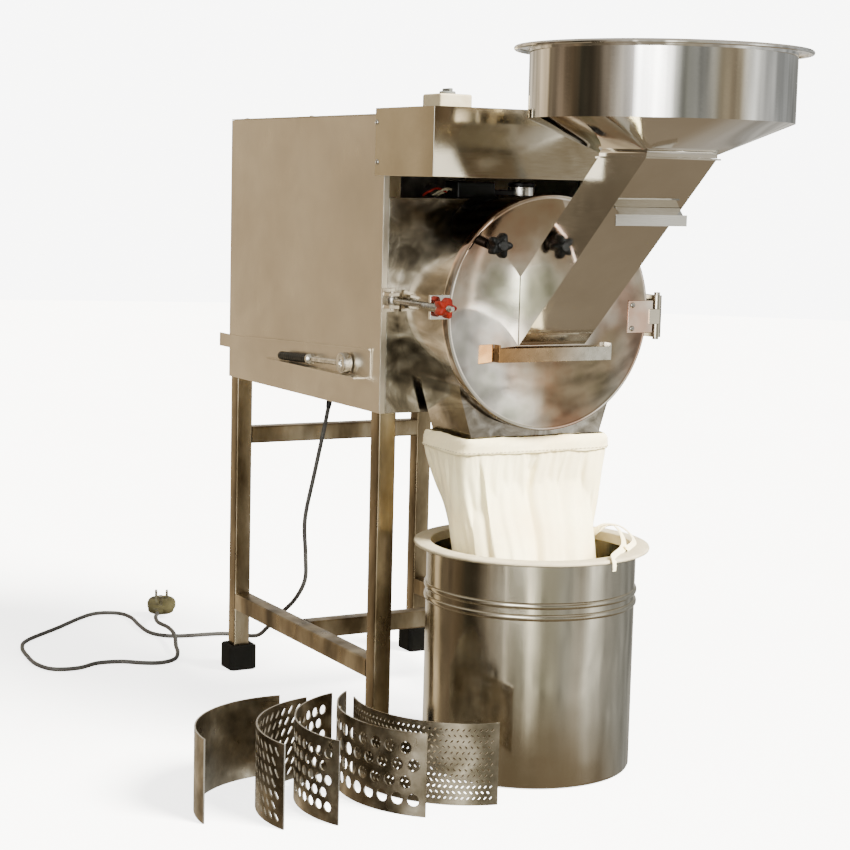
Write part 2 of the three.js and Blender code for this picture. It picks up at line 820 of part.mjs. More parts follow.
// The neck's rectangle, met by the same points: along is -1 to 1 from corner to corner of the nearest side.
function neckRing(inset, z) {
  const [x0, x1, y0, y1] = NECK;
  const middleX = (x0 + x1) / 2;
  const middleY = (y0 + y1) / 2;
  const halfX = (x1 - x0) / 2 - inset;
  const halfY = (y1 - y0) / 2 - inset;
  const points = [];
  for (let i = 0; i < HOPPER_STEPS; i += 1) {
    const degrees = (i / HOPPER_STEPS) * 360;
    const side = Math.round(degrees / 90) % 4;
    const off = degrees - 90 * Math.round(degrees / 90);
    const along = Math.max(-1, Math.min(1, off / FLAT));
    const [dx, dy] = [
      [1, along],
      [-along, 1],
      [-1, -along],
      [along, -1],
    ][side];
    points.push([middleX + dx * halfX, middleY + dy * halfY, z]);
  }
  return points;
}

function addHopper() {
  const wall = 1.6;
  const rings = [
    circleRing(RIM_RADIUS, HOPPER_TOP),
    circleRing(HOPPER_RADIUS - wall, HOPPER_TOP),
    circleRing(HOPPER_RADIUS - wall, HOPPER_BOTTOM + 1.7),
    neckRing(wall, CHUTE_TOP + 4 + 1.7),
    neckRing(wall, CHUTE_TOP + GAP),
    neckRing(0, CHUTE_TOP + GAP),
    neckRing(0, CHUTE_TOP + 4),
    circleRing(HOPPER_RADIUS, HOPPER_BOTTOM),
    circleRing(HOPPER_RADIUS, HOPPER_TOP - 2),
    circleRing(RIM_RADIUS - 1.5, HOPPER_TOP - 2),
    circleRing(RIM_RADIUS - 1.5, HOPPER_TOP - 5),
    circleRing(RIM_RADIUS, HOPPER_TOP - 5),
  ];
  addMesh("hopper", weld(skin(rings, true)), polished());
}

// ---------------------------------------------------------------------------------------------------
// Bag and bin
// ---------------------------------------------------------------------------------------------------
// One level of the bag: centre, half widths and squareness (2 is an ellipse, higher is squarer).
const BAG_LEVELS = [
  [425, 0, -62, 103.5, 55.5, 20],
  [414, 1, -61, 111, 58.5, 9],
  [402, 1, -61, 115, 60, 7],
  [372, 1, -68, 111, 58, 5],
  [340, 2, -78, 107, 56, 4],
  [310, 2, -88, 105, 58, 3.4],
  [270, 2, -96, 104, 62, 3],
  [200, 2, -103, 104, 70, 2.8],
  [120, 2, -107, 100, 76, 2.6],
  [70, 2, -107, 84, 66, 2.4],
  [52, 2, -107, 50, 40, 2.2],
];
const BAG_SIDES = 24;

function bagRing([z, x, y, a, b, power], inset) {
  const points = [];
  for (let i = 0; i < BAG_SIDES; i += 1) {
    const t = ((i + 0.5) / BAG_SIDES) * Math.PI * 2;
    const c = Math.cos(t);
    const s = Math.sin(t);
    const px = x + (a - inset) * Math.sign(c) * Math.abs(c) ** (2 / power);
    const py = y + (b - inset) * Math.sign(s) * Math.abs(s) ** (2 / power);
    points.push([px, py, z]);
  }
  return points;
}

function addBag() {
  const wall = 2;
  const pole = (z) => Array(BAG_SIDES).fill([2, -107, z]);
  const outside = BAG_LEVELS.map((level) => bagRing(level, 0));
  const inside = BAG_LEVELS.map((level) => bagRing(level, wall));
  const floor = BAG_LEVELS[BAG_LEVELS.length - 1][0];
  inside[inside.length - 1].forEach((point) => {
    point[2] = floor + wall;
  });
  const rings = [pole(floor - 4), ...outside.reverse(), ...inside, pole(floor - 4 + wall)];
  addMesh("collecting_bag", weld(skin(rings, false)), dielectric(0xefe9d6, 0.95));
}

function addBin() {
  const r = BIN_RADIUS;
  const wall = 1.6;
  const profile = [
    [0, 0],
    [r - 3, 0],
    [r, 3],
  ];
  for (const z of [216.7, 231.2]) {
    profile.push([r, z - 4.5], [r + 2.6, z - 1.5], [r + 2.6, z + 1.5], [r, z + 4.5]);
  }
  profile.push([r, BIN_HEIGHT], [r - wall, BIN_HEIGHT], [r - wall, 4], [0, 4]);
  addMesh("collecting_bin", turnedZ(profile, BIN[0], BIN[1], 40), brushed());

  const z = BIN_HEIGHT + GAP;
  const rim = [
    [r - 5, z - 8],
    [r - 2.2, z - 8],
    [r - 2.2, z],
    [RING_RADIUS - 2, z],
    [RING_RADIUS, z + 1.5],
    [RING_RADIUS, z + 3.5],
    [RING_RADIUS - 2, z + 5],
    [r - 5, z + 5],
    [r - 5, z - 8],
  ];
  addMesh("bin_ring", turnedZ(rim, BIN[0], BIN[1], 40), dielectric(0xe4e0d4, 0.5));
}

// ---------------------------------------------------------------------------------------------------
// Loose sieves
// ---------------------------------------------------------------------------------------------------
// A hole tool that points from the sieve's axis outwards at angle t and height z.
function radialTool(cx, cy, t, z, width, height, sides, turn) {
  const tool = new THREE.CylinderGeometry(0.5, 0.5, 12, sides);
  tool.rotateY(turn).rotateX(Math.PI / 2).scale(width, height, 1);
  tool.rotateX(-Math.PI / 2).rotateZ(-Math.PI / 2).rotateX(-Math.PI / 2);
  const r = SIEVE_RADIUS - SIEVE_THICKNESS / 2;
  return tool.rotateZ(t).translate(cx + r * Math.cos(t), cy + r * Math.sin(t), z);
}

function perforated(cx, cy, start, end, pattern) {
  const from = THREE.MathUtils.degToRad(start);
  const to = THREE.MathUtils.degToRad(end);
  const arc = arcOutline(cx, cy, from, to, pattern.columns);
  let solid = solidOf(alongZ(arc, 0, SIEVE_HEIGHT));
  for (let i = 1; i < pattern.columns - 1; i += 1) {
    const t = from + ((to - from) * (i + 0.5)) / pattern.columns;
    const odd = i % 2;
    const rows = pattern.rows - odd;
    const pitch = (SIEVE_HEIGHT - 2 * pattern.margin) / (pattern.rows - 1);
    for (let j = 0; j < rows; j += 1) {
      const z = pattern.margin + (j + odd / 2) * pitch;
      const { width, height, sides, turn } = pattern;
      solid = solid.subtract(solidOf(radialTool(cx, cy, t, z, width, height, sides, turn)));
    }
  }
  return geometryOf(solid);
}

const plainSieve = (cx, cy, start, end) =>
  alongZ(
    arcOutline(cx, cy, THREE.MathUtils.degToRad(start), THREE.MathUtils.degToRad(end), 18),
    0,
    SIEVE_HEIGHT,
  );

function addSieves() {
  const dark = () => steel(0x77705d, 0.45);
  const slots = { columns: 15, rows: 4, margin: 20, width: 4, height: 13, sides: 4, turn: Math.PI / 4 };
  const round = { columns: 12, rows: 5, margin: 14, width: 10.5, height: 10.5, sides: 6, turn: 0 };
  const large = { columns: 12, rows: 5, margin: 15, width: 13, height: 13, sides: 6, turn: 0 };
  addMesh("sieve_plain", plainSieve(-338, -174, 82, 181), dark());
  addMesh("sieve_slotted", perforated(-268, -195, 100, 196, slots), dark());
  addMesh("sieve_round", perforated(-213, -185, 107, 206, round), dark());
  addMesh("sieve_large", perforated(-142, -156, 131, 230, large), dark());
  addMesh("sieve_fine", plainSieve(-103, -120, 163, 259), dark());
}

// ---------------------------------------------------------------------------------------------------
// Mains cord
// ---------------------------------------------------------------------------------------------------
// From the gland in the floor pan down behind the lower rail, out on the floor behind the rear left leg,
// round a wide loop and over itself to the plug.
const CORD_ROUTE = [
  [-25, 435, 437.5],
  [-26, 435, 415],
  [-32, 437, 376],
  [-48, 440, 296],
  [-62, 440, 229],
  [-60, 440, 174],
  [-58, 445, 134],
  [-64, 468, 99],
  [-70, 510, 67],
  [-66, 565, 34],
  [-62, 612, 11],
  [-74, 650, 4],
  [-98, 672, 4],
  [-163, 682, 4],
  [-190, 697, 4],
  [-203, 728, 4],
  [-200, 782, 4],
  [-193, 838, 4],
  [-202, 876, 4],
  [-234, 889, 4],
  [-270, 868, 4],
  [-330, 811, 4],
  [-398, 750, 4],
  [-421, 705, 4],
  [-430, 648, 4],
  [-432, 596, 4],
  [-418, 558, 4],
  [-382, 550, 4],
  [-346, 567, 4],
  [-310, 562, 4],
  [-282, 541, 4],
  [-256, 531, 4.2],
  [-231, 541, 5.3],
  [-214, 572, 7],
  [-204, 605, 9],
  [-187, 655, 14],
  [-180, 700, 15.5],
  [-181, 742, 15],
  [-172, 778, 15.5],
  [-157, 806, 17],
];

function addCord() {
  const gland = cut(
    join(
      turnedZ(disc(6.9, 438, 452), GLAND[0], GLAND[1], 16),
      turnedZ(disc(10, 438, CABINET_BOTTOM - GAP), GLAND[0], GLAND[1], 16),
      turnedZ(disc(10, CABINET_BOTTOM + SHEET + GAP, 454), GLAND[0], GLAND[1], 16),
    ),
    turnedZ(disc(3.8, 430, 460), GLAND[0], GLAND[1], 12),
  );
  addMesh("cord_gland", gland, blackPlastic());

  const curve = new THREE.CatmullRomCurve3(CORD_ROUTE.map((p) => new THREE.Vector3(...p)));
  const section = new THREE.Shape();
  for (let i = 0; i < 8; i += 1) {
    const t = ((i + 0.5) / 8) * Math.PI * 2;
    const [a, b] = [CORD_RADIUS * Math.cos(t), CORD_RADIUS * Math.sin(t)];
    if (i === 0) section.moveTo(a, b);
    else section.lineTo(a, b);
  }
  const cord = new THREE.ExtrudeGeometry(section, { steps: 78, extrudePath: curve });
  addMesh("power_cord", cord, dielectric(0x6f706c, 0.6));

  addPlug();
}

// A rounded plug body with three flat pins, lying on its side.
function addPlug() {
  const body = new THREE.Shape();
  body.moveTo(-14, -22);
  body.lineTo(14, -22);
  body.quadraticCurveTo(24, -18, 24, 0);
  body.quadraticCurveTo(24, 18, 12, 22);
  body.lineTo(-12, 22);
  body.quadraticCurveTo(-24, 18, -24, 0);
  body.quadraticCurveTo(-24, -18, -14, -22);
  const shell = new THREE.ExtrudeGeometry(body, {
    depth: 16,
    bevelThickness: 3,
    bevelSize: 3,
    bevelOffset: -3,
    bevelSegments: 1,
    curveSegments: 3,
  });
  const solid = join(
    shell,
    box(-3, 3, -13, -9, 18, 37),
    box(-11, -7, 5, 11, 18, 35),
    box(7, 11, 5, 11, 18, 35),
    turnedY(disc(6.5, -34, -18), 0, 8, 12),
  );
  solid.rotateX(0.35).rotateZ(-0.45).translate(-136, 845, 12.4);
  addMesh("plug", solid, dielectric(0x8f8a66, 0.5));
}

addStand();
addCabinet();
addFittings();
addDrum();
addRotor();
addDrive();
addDoor();
addLatch();
addInletBracket();
addChute();
addHopper();
addBag();
addBin();
addSieves();
addCord();

const hammerMill = new THREE.Group();
hammerMill.name = "hammer_mill";
hammerMill.add(machine);

export default hammerMill;
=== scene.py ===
"""Hammer mill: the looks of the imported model. Metres, +Z up, the door faces -Y, the floor is z = 0."""

import json
import math

import bmesh
import bpy
from mathutils import Matrix, Vector, noise


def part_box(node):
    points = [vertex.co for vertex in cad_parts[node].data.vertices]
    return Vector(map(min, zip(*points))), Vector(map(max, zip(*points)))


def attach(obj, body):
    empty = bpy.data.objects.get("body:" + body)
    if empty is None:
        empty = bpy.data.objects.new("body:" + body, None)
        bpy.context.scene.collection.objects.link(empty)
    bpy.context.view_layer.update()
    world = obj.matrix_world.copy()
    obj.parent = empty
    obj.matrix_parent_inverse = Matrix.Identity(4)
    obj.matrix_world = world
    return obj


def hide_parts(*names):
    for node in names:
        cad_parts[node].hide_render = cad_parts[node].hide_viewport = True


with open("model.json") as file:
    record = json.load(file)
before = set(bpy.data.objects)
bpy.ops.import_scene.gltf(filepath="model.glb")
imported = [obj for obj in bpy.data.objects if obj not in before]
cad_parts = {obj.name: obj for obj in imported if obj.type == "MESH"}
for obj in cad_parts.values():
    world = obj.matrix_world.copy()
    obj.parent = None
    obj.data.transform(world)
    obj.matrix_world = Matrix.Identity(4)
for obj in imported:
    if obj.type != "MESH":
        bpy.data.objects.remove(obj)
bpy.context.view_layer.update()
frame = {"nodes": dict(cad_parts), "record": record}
nodes = frame["nodes"]

MM = 0.001
TAU = 2 * math.pi
TINY = 1e-6


def middle(node):
    """The middle of a CAD node's box."""
    low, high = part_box(node)
    return (Vector(low) + Vector(high)) / 2


MILL_X = middle("front_panel").x


def at(x, y, z):
    """A point given in millimetres from the mill's centre plane, the cabinet's front face and the floor."""
    return Vector((MILL_X + x * MM, y * MM, z * MM))


def at_turn(radius, turn, z):
    """An offset in millimetres, given as a radius, an angle and a height."""
    return Vector((radius * math.cos(turn), radius * math.sin(turn), z)) * MM


# ---- Camera ----
CAMERA_AZIMUTH = math.radians(-28.87)
CAMERA_ELEVATION = math.radians(7.2)
CAMERA_ROLL = math.radians(1.41)
CAMERA_PLACE = at(-1312.4, -2198.3, 746.0)
CAMERA_LENS = 82.4


def add_object(name, data):
    obj = bpy.data.objects.new(name, data)
    bpy.context.scene.collection.objects.link(obj)
    return obj


def heading(azimuth, elevation):
    """The direction towards something at an azimuth, counted from -Y, and an elevation."""
    level = math.cos(elevation)
    return Vector((math.sin(azimuth) * level, -math.cos(azimuth) * level, math.sin(elevation)))


def add_camera():
    data = bpy.data.cameras.new("camera")
    data.lens = CAMERA_LENS
    data.sensor_width = 36
    camera = add_object("camera", data)
    back = heading(CAMERA_AZIMUTH, CAMERA_ELEVATION)
    right = (-back).cross(Vector((0, 0, 1))).normalized()
    up = right.cross(-back)
    c, s = math.cos(CAMERA_ROLL), math.sin(CAMERA_ROLL)
    turn = Matrix((right * c + up * s, up * c - right * s, back)).transposed()
    camera.matrix_world = Matrix.Translation(CAMERA_PLACE) @ turn.to_4x4()
    bpy.context.scene.camera = camera


# ---- Materials ----
# The same in every direction, or a colour that changes nothing.
UNIFORM = (1, 1, 1)


def feed(tree, socket, value):
    """Gives an input a link, a colour or a number."""
    if isinstance(value, bpy.types.NodeSocket):
        tree.links.new(value, socket)
    else:
        socket.default_value = (*value, 1.0) if socket.type == "RGBA" else value


def make(tree, kind, inputs, **settings):
    """Adds a node whose inputs are given by name or number, and returns its outputs."""
    node = tree.nodes.new(kind)
    for name, value in settings.items():
        setattr(node, name, value)
    for name, value in inputs.items():
        feed(tree, node.inputs[name], value)
    return node.outputs


def mixed(tree, factor, first, second, blend="MIX"):
    inputs = {0: factor, 6: first, 7: second}
    return make(tree, "ShaderNodeMix", inputs, data_type="RGBA", blend_type=blend)[2]


def ramped(tree, factor, stops):
    """A colour ramp's output. Its stops are (position, colour or grey)."""
    colour = make(tree, "ShaderNodeValToRGB", {"Fac": factor})["Color"]
    elements = colour.node.color_ramp.elements
    while len(elements) < len(stops):
        elements.new(0.5)
    for element, (position, value) in zip(elements, stops):
        element.position = position
        rgb = value if isinstance(value, tuple) else (value, value, value)
        element.color = (*rgb, 1.0)
    return colour


class Paint:
    """A material and short calls that make and join its nodes. Patterns are laid out in object space."""

    def __init__(self, name, metallic=0.0):
        self.material = bpy.data.materials.new(name)
        self.material.use_nodes = True
        self.tree = self.material.node_tree
        self.surface = self.tree.nodes["Principled BSDF"]
        self.set("Metallic", metallic)
        self.place = self.make("ShaderNodeTexCoord", {})["Object"]
        self.relief = None

    def set(self, name, value):
        feed(self.tree, self.surface.inputs[name], value)

    def make(self, kind, inputs, **settings):
        return make(self.tree, kind, inputs, **settings)

    def noise(self, scale, detail=3.0, stretch=UNIFORM, distortion=0.0):
        place = self.make("ShaderNodeMapping", {"Vector": self.place, "Scale": stretch})["Vector"]
        inputs = {"Vector": place, "Scale": scale, "Detail": detail, "Distortion": distortion}
        return self.make("ShaderNodeTexNoise", inputs)["Fac"]

    def waves(self, scale, axis, distortion):
        inputs = {"Vector": self.place, "Scale": scale, "Detail": 2, "Distortion": distortion}
        return self.make("ShaderNodeTexWave", inputs, bands_direction=axis)["Fac"]

    def ramp(self, factor, stops):
        return ramped(self.tree, factor, stops)

    def tint(self, factor, stops):
        self.set("Base Color", self.ramp(factor, stops))

    def polish(self, factor, stops):
        self.set("Roughness", self.ramp(factor, stops))

    def mix(self, factor, first, second, blend="MIX"):
        return mixed(self.tree, factor, first, second, blend)

    def bump(self, height, depth):
        """Adds a layer of relief, its depth in metres."""
        inputs = {"Distance": depth, "Strength": 1.0, "Height": height}
        if self.relief is not None:
            inputs["Normal"] = self.relief
        self.relief = self.make("ShaderNodeBump", inputs)["Normal"]
        self.set("Normal", self.relief)


def patterned(name, tint, polish, relief, metallic=1.0):
    """A material from noise. A pattern is noise()'s arguments; tint and polish are (pattern, stops)
    for colour and roughness, and relief is (pattern, depth) pairs."""
    paint = Paint(name, metallic)
    paint.tint(paint.noise(*tint[0]), tint[1])
    paint.polish(paint.noise(*polish[0]), polish[1])
    for pattern, depth in relief:
        paint.bump(paint.noise(*pattern), depth)
    return paint


def sheet_steel(name, dark, light, smooth, rough, dents, grain=(1, 1, 30), grain_depth=0.00001):
    """Stainless sheet: cloudy tint, uneven polish, shallow dents and a fine grain along one axis."""
    paint = Paint(name, metallic=1.0)
    paint.tint(paint.noise(7, 5), [(0.3, dark), (0.7, light)])
    streaks = paint.noise(60, 6, grain)
    smears = paint.noise(16, 4, distortion=1.5)
    paint.polish(paint.mix(0.5, streaks, smears), [(0.3, smooth), (0.75, rough)])
    paint.bump(paint.noise(5.5, 1), dents)
    paint.bump(streaks, grain_depth)
    return paint.material


def moulded(name, dark, light, smooth, rough):
    """Rubber or plastic: a slightly uneven colour, scuffs and a moulded grain."""
    scuffs = (45, 6)
    tint = (scuffs, [(0.35, dark), (0.72, light)])
    paint = patterned(name, tint, (scuffs, [(0.3, smooth), (0.75, rough)]), [((700, 2), 0.00008)], 0.0)
    paint.set("Specular IOR Level", 0.3)
    return paint.material


def cotton():
    """Plain-woven calico: crossing threads, slubs and faint soiling."""
    paint = Paint("cotton")
    cloth = paint.ramp(paint.noise(9, 6), [(0.3, (0.82, 0.67, 0.38)), (0.62, (0.97, 0.90, 0.58))])
    slubs = paint.noise(240, 3, (1, 1, 0.15))
    lumps = paint.ramp(slubs, [(0.45, 0.0), (0.75, 0.3)])
    paint.set("Base Color", paint.mix(lumps, cloth, (0.74, 0.64, 0.45)))
    paint.polish(slubs, [(0.3, 0.8), (0.7, 0.95)])
    paint.set("Sheen Weight", 0.25)
    paint.set("Sheen Roughness", 0.5)
    weft, warp = (paint.waves(260, axis, 0.6) for axis in "ZX")
    paint.bump(paint.noise(26), 0.0016)
    paint.bump(paint.mix(0.5, weft, warp), 0.00025)
    return paint.material


def weld_bead():
    paint = patterned(
        "weld_bead",
        tint=((160, 4), [(0.35, (0.42, 0.38, 0.33)), (0.7, (0.78, 0.75, 0.7))]),
        polish=((220,), [(0.3, 0.25), (0.7, 0.5)]),
        relief=[],
    )
    paint.bump(paint.waves(180, "Z", 3), 0.0004)
    return paint.material


def bracket_steel():
    """Heat-tinted sheet: straw brown at one end, clean at the other."""
    paint = Paint("bracket_steel", metallic=1.0)
    across = paint.make("ShaderNodeSeparateXYZ", {0: paint.place})["X"]
    low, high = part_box("inlet_bracket")
    inputs = {"Value": across, "From Min": low[0], "From Max": high[0]}
    reach = paint.make("ShaderNodeMapRange", inputs)["Result"]
    stops = [(0.0, (0.52, 0.29, 0.12)), (0.45, (0.56, 0.40, 0.24)), (0.8, (0.72, 0.69, 0.60))]
    tint = paint.ramp(reach, stops)
    worn = paint.ramp(paint.noise(70, 5), [(0.35, 0.75), (0.65, 1.0)])
    paint.set("Base Color", paint.mix(1.0, tint, worn, "MULTIPLY"))
    paint.polish(paint.noise(40, 4), [(0.3, 0.15), (0.7, 0.35)])
    paint.bump(paint.noise(90), 0.0002)
    return paint.material


# Colour, roughness and relief, as patterned() takes them. A stretch draws a pattern out into streaks.
PATTERNED = {
    "drum_steel": (
        (
            (14, 6, (2.2, 0.5, 2.2), 1.2),
            [(0.3, (0.15, 0.13, 0.10)), (0.48, (0.36, 0.325, 0.27)), (0.66, (0.62, 0.59, 0.53))],
        ),
        ((18, 5, UNIFORM, 1.5), [(0.3, 0.06), (0.75, 0.24)]),
        [((6, 2), 0.003)],
    ),
    "door_steel": (
        (
            (9, 4),
            [
                (0.38, (0.62, 0.42, 0.32)),
                (0.46, (0.72, 0.60, 0.50)),
                (0.54, (0.84, 0.78, 0.70)),
                (0.64, (0.60, 0.59, 0.48)),
            ],
        ),
        ((14, 4, UNIFORM, 1.5), [(0.3, 0.03), (0.75, 0.14)]),
        [((9, 2), 0.0018)],
    ),
    "frame_steel": (
        (
            (22, 6, (1, 1, 0.35)),
            [(0.32, (0.11, 0.08, 0.044)), (0.52, (0.31, 0.245, 0.155)), (0.74, (0.60, 0.52, 0.38))],
        ),
        ((30, 5, (1, 1, 0.3)), [(0.3, 0.22), (0.75, 0.5)]),
        [((400, 3, (1, 1, 0.05)), 0.00004)],
    ),
    "bin_steel": (
        ((9, 6, (1, 1, 0.12)), [(0.3, (0.38, 0.34, 0.26)), (0.7, (0.74, 0.69, 0.57))]),
        ((20, 4), [(0.3, 0.1), (0.75, 0.24)]),
        [((7, 2), 0.0022), ((250, 2, (1, 1, 0.03)), 0.00003)],
    ),
    "sieve_steel": (
        (
            (28, 6),
            [(0.32, (0.16, 0.135, 0.09)), (0.56, (0.40, 0.35, 0.265)), (0.76, (0.78, 0.72, 0.59))],
        ),
        ((50, 4), [(0.3, 0.25), (0.7, 0.5)]),
        [((180, 4), 0.0001)],
    ),
    "tool_steel": (
        ((90, 5), [(0.35, (0.50, 0.48, 0.44)), (0.65, (0.85, 0.84, 0.80))]),
        ((90, 5), [(0.3, 0.35), (0.7, 0.14)]),
        [((300, 3), 0.00003)],
    ),
    "cast_iron": (
        ((40, 6), [(0.3, (0.12, 0.11, 0.10)), (0.7, (0.28, 0.26, 0.24))]),
        ((70,), [(0.3, 0.45), (0.7, 0.7)]),
        [((500, 4), 0.0003)],
    ),
    "motor_paint": (
        ((25, 5), [(0.3, (0.07, 0.11, 0.14)), (0.7, (0.12, 0.17, 0.2))]),
        ((60,), [(0.3, 0.3), (0.7, 0.5)]),
        [((350, 3), 0.0001)],
        0.0,
    ),
}
# What sheet_steel() takes after the name.
SHEET = {
    "polished_steel": ((0.74, 0.72, 0.67), (0.90, 0.89, 0.86), 0.03, 0.13, 0.0028),
    "hopper_steel": ((0.80, 0.78, 0.74), (0.92, 0.91, 0.89), 0.015, 0.09, 0.0004, (2, 2, 60)),
    "hood_steel": ((0.44, 0.39, 0.30), (0.62, 0.57, 0.47), 0.04, 0.2, 0.0026),
    "cabinet_steel": ((0.76, 0.69, 0.58), (0.90, 0.83, 0.71), 0.26, 0.42, 0.0014, (30, 30, 1), 0.00002),
    "worn_edge": ((0.62, 0.58, 0.50), (0.88, 0.85, 0.78), 0.22, 0.4, 0.0004),
}
# What moulded() takes after the name.
MOULDED = {
    "rubber": ((0.001, 0.001, 0.0008), (0.004, 0.0038, 0.003), 0.7, 0.95),
    "black_plastic": ((0.002, 0.0023, 0.0024), (0.007, 0.008, 0.008), 0.25, 0.5),
    "red_plastic": ((0.23, 0.012, 0.006), (0.36, 0.026, 0.012), 0.22, 0.45),
    "cream_plastic": ((0.36, 0.31, 0.205), (0.46, 0.405, 0.285), 0.35, 0.6),
    "grey_plastic": ((0.08, 0.084, 0.08), (0.13, 0.135, 0.13), 0.35, 0.6),
    "cord_sheath": ((0.044, 0.042, 0.04), (0.08, 0.078, 0.072), 0.4, 0.65),
    "plug_plastic": ((0.048, 0.042, 0.018), (0.096, 0.084, 0.042), 0.4, 0.7),
}
# Materials by name. Those that share a material slot's name are what that slot gets.
FINISH = {"cotton": cotton(), "weld_bead": weld_bead(), "bracket_steel": bracket_steel()}
FINISH.update((name, patterned(name, *values).material) for name, values in PATTERNED.items())
FINISH.update((name, sheet_steel(name, *values)) for name, values in SHEET.items())
FINISH.update((name, moulded(name, *values)) for name, values in MOULDED.items())
# CAD nodes that stay, but differ from their slot.
DRESS = {
    "inlet_bracket": "bracket_steel",
    "hinge_bracket": "hood_steel",
    "hood": "hood_steel",
    "front_panel": "drum_steel",
}
SLOT_OF = {part["node"]: part["material_slot"] for part in frame["record"]["subparts"]}
BODY_OF = {n: body for body, members in frame["record"]["behaviour"]["bodies"].items() for n in members}


# ---- Making pieces ----
def finish_piece(obj, replaced=None, body=None, slot=None, look=None):
    """Gives a new piece its body and a material: the look's, or else the slot's. Slot and body default to
    those of what it replaces, and the body else to the frame.
    """
    slot = slot or SLOT_OF[replaced]
    obj.data.materials.clear()
    obj.data.materials.append(FINISH[look or slot])
    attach(obj, body or BODY_OF.get(replaced, "frame"))
    if replaced:
        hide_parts(replaced)
    return obj


def smooth_sides(mesh, angle=35):
    """Smooth shading with edges sharper than an angle left crisp."""
    for polygon in mesh.polygons:
        polygon.use_smooth = True
    mesh.set_sharp_from_angle(angle=math.radians(angle))


def mesh_piece(name, points, faces, smooth=35):
    mesh = bpy.data.meshes.new(name)
    mesh.from_pydata([tuple(p) for p in points], [], faces)
    shape = bmesh.new()
    shape.from_mesh(mesh)
    bmesh.ops.remove_doubles(shape, verts=shape.verts, dist=TINY)
    bmesh.ops.dissolve_degenerate(shape, edges=shape.edges, dist=TINY)
    bmesh.ops.recalc_face_normals(shape, faces=shape.faces)
    shape.to_mesh(mesh)
    shape.free()
    smooth_sides(mesh, smooth)
    return add_object(name, mesh)


def bands(rows, count, loops=False):
    """Faces between rows of points, each row closed. Rows that loop join the last to the first."""
    faces = []
    for i in range(rows if loops else rows - 1):
        low, high = i * count, (i + 1) % rows * count
        for j in range(count):
            k = (j + 1) % count
            faces.append((low + j, low + k, high + k, high + j))
    return faces


def skin(name, rings, loops=True, smooth=35):
    """A surface through rings of as many points each. Rings that don't loop are closed at both ends."""
    count = len(rings[0])
    points = [p for ring in rings for p in ring]
    faces = bands(len(rings), count, loops)
    if not loops:
        faces.append(tuple(range(count))[::-1])
        faces.append(tuple(range(len(points) - count, len(points))))
    return mesh_piece(name, points, faces, smooth)


def lengthwise(axis, a, b, c):
    """The place c along an axis and (a, b) across it: (x, y) for Z, (x, z) for Y or (y, z) for X."""
    return {"X": (c, a, b), "Y": (a, c, b), "Z": (a, b, c)}[axis]


def turned(name, profile, place, axis="Z", segments=128, smooth=35):
    """A closed profile of (radius, along) points in millimetres, turned about an axis through place."""
    rings = []
    for i in range(segments):
        c, s = math.cos(TAU * i / segments), math.sin(TAU * i / segments)
        offsets = (lengthwise(axis, r * MM * c, r * MM * s, along * MM) for r, along in profile)
        rings.append([place + Vector(offset) for offset in offsets])
    return skin(name, rings, True, smooth)


def add_bevel(obj, width, segments=3, angle=40):
    bevel = obj.modifiers.new("bevel", "BEVEL")
    bevel.width = width * MM
    bevel.segments = segments
    bevel.limit_method = "ANGLE"
    bevel.angle_limit = math.radians(angle)
    bevel.harden_normals = True
    return obj


def prism(name, outline, axis, low, high, smooth=35):
    """An outline of (a, b) in millimetres run along an axis."""
    rings = [[at(*lengthwise(axis, a, b, c)) for a, b in outline] for c in (low, high)]
    return skin(name, rings, loops=False, smooth=smooth)


def box_outline(x0, x1, y0, y1):
    return [(x0, y0), (x1, y0), (x1, y1), (x0, y1)]


def slab(name, x0, x1, y0, y1, z0, z1, width=0.6, segments=3):
    """A plate or block between two corners in millimetres, with rounded edges."""
    plate = prism(name, box_outline(x0, x1, y0, y1), "Z", z0, z1)
    return add_bevel(plate, width, segments) if width else plate


def bake(obj):
    """Applies a piece's modifiers."""
    bpy.context.view_layer.update()
    graph = bpy.context.evaluated_depsgraph_get()
    mesh = bpy.data.meshes.new_from_object(obj.evaluated_get(graph))
    obj.modifiers.clear()
    obj.data = mesh
    return obj


def combine(obj, other, operation="DIFFERENCE"):
    """Cuts another closed piece out of this one, or joins it on, and removes it."""
    boolean = obj.modifiers.new("combine", "BOOLEAN")
    boolean.operation = operation
    boolean.solver = "EXACT"
    boolean.object = other
    bake(obj)
    bpy.data.objects.remove(other)
    return obj


def merge(name, pieces):
    """Makes one piece of several."""
    shape = bmesh.new()
    for piece in pieces:
        shape.from_mesh(bake(piece).data)
        bpy.data.objects.remove(piece)
    mesh = bpy.data.meshes.new(name)
    shape.to_mesh(mesh)
    shape.free()
    return add_object(name, mesh)


def evenly(points, count):
    """So many points at equal steps round a closed loop of points."""
    loop = points + points[:1]
    lengths = [0.0]
    for a, b in zip(loop, loop[1:]):
        lengths.append(lengths[-1] + (b - a).length)
    even = []
    i = 0
    for j in range(count):
        target = lengths[-1] * j / count
        while lengths[i + 1] < target:
            i += 1
        span = lengths[i + 1] - lengths[i]
        even.append(loop[i].lerp(loop[i + 1], (target - lengths[i]) / span))
    return even


def rounded_square(a, b, half, radius, steps=6):
    """Points round a square with round corners, about (a, b)."""
    points = []
    out = math.sqrt(2) * (half - radius)
    for corner in range(4):
        turn = corner * math.pi / 2
        ca = math.cos(turn + math.pi / 4) * out
        cb = math.sin(turn + math.pi / 4) * out
        for i in range(steps + 1):
            t = turn + i / steps * math.pi / 2
            points.append((a + ca + radius * math.cos(t), b + cb + radius * math.sin(t)))
    return points


# Bevel widths in millimetres of the CAD nodes that stay, by the start of the name.
EDGE_WIDTH = {"hood": 1.2, "feed_chute": 0.9, "foot_": 3.0, "motor": 2.0, "switch_base": 3.0}
FINE_EDGE = 0.4


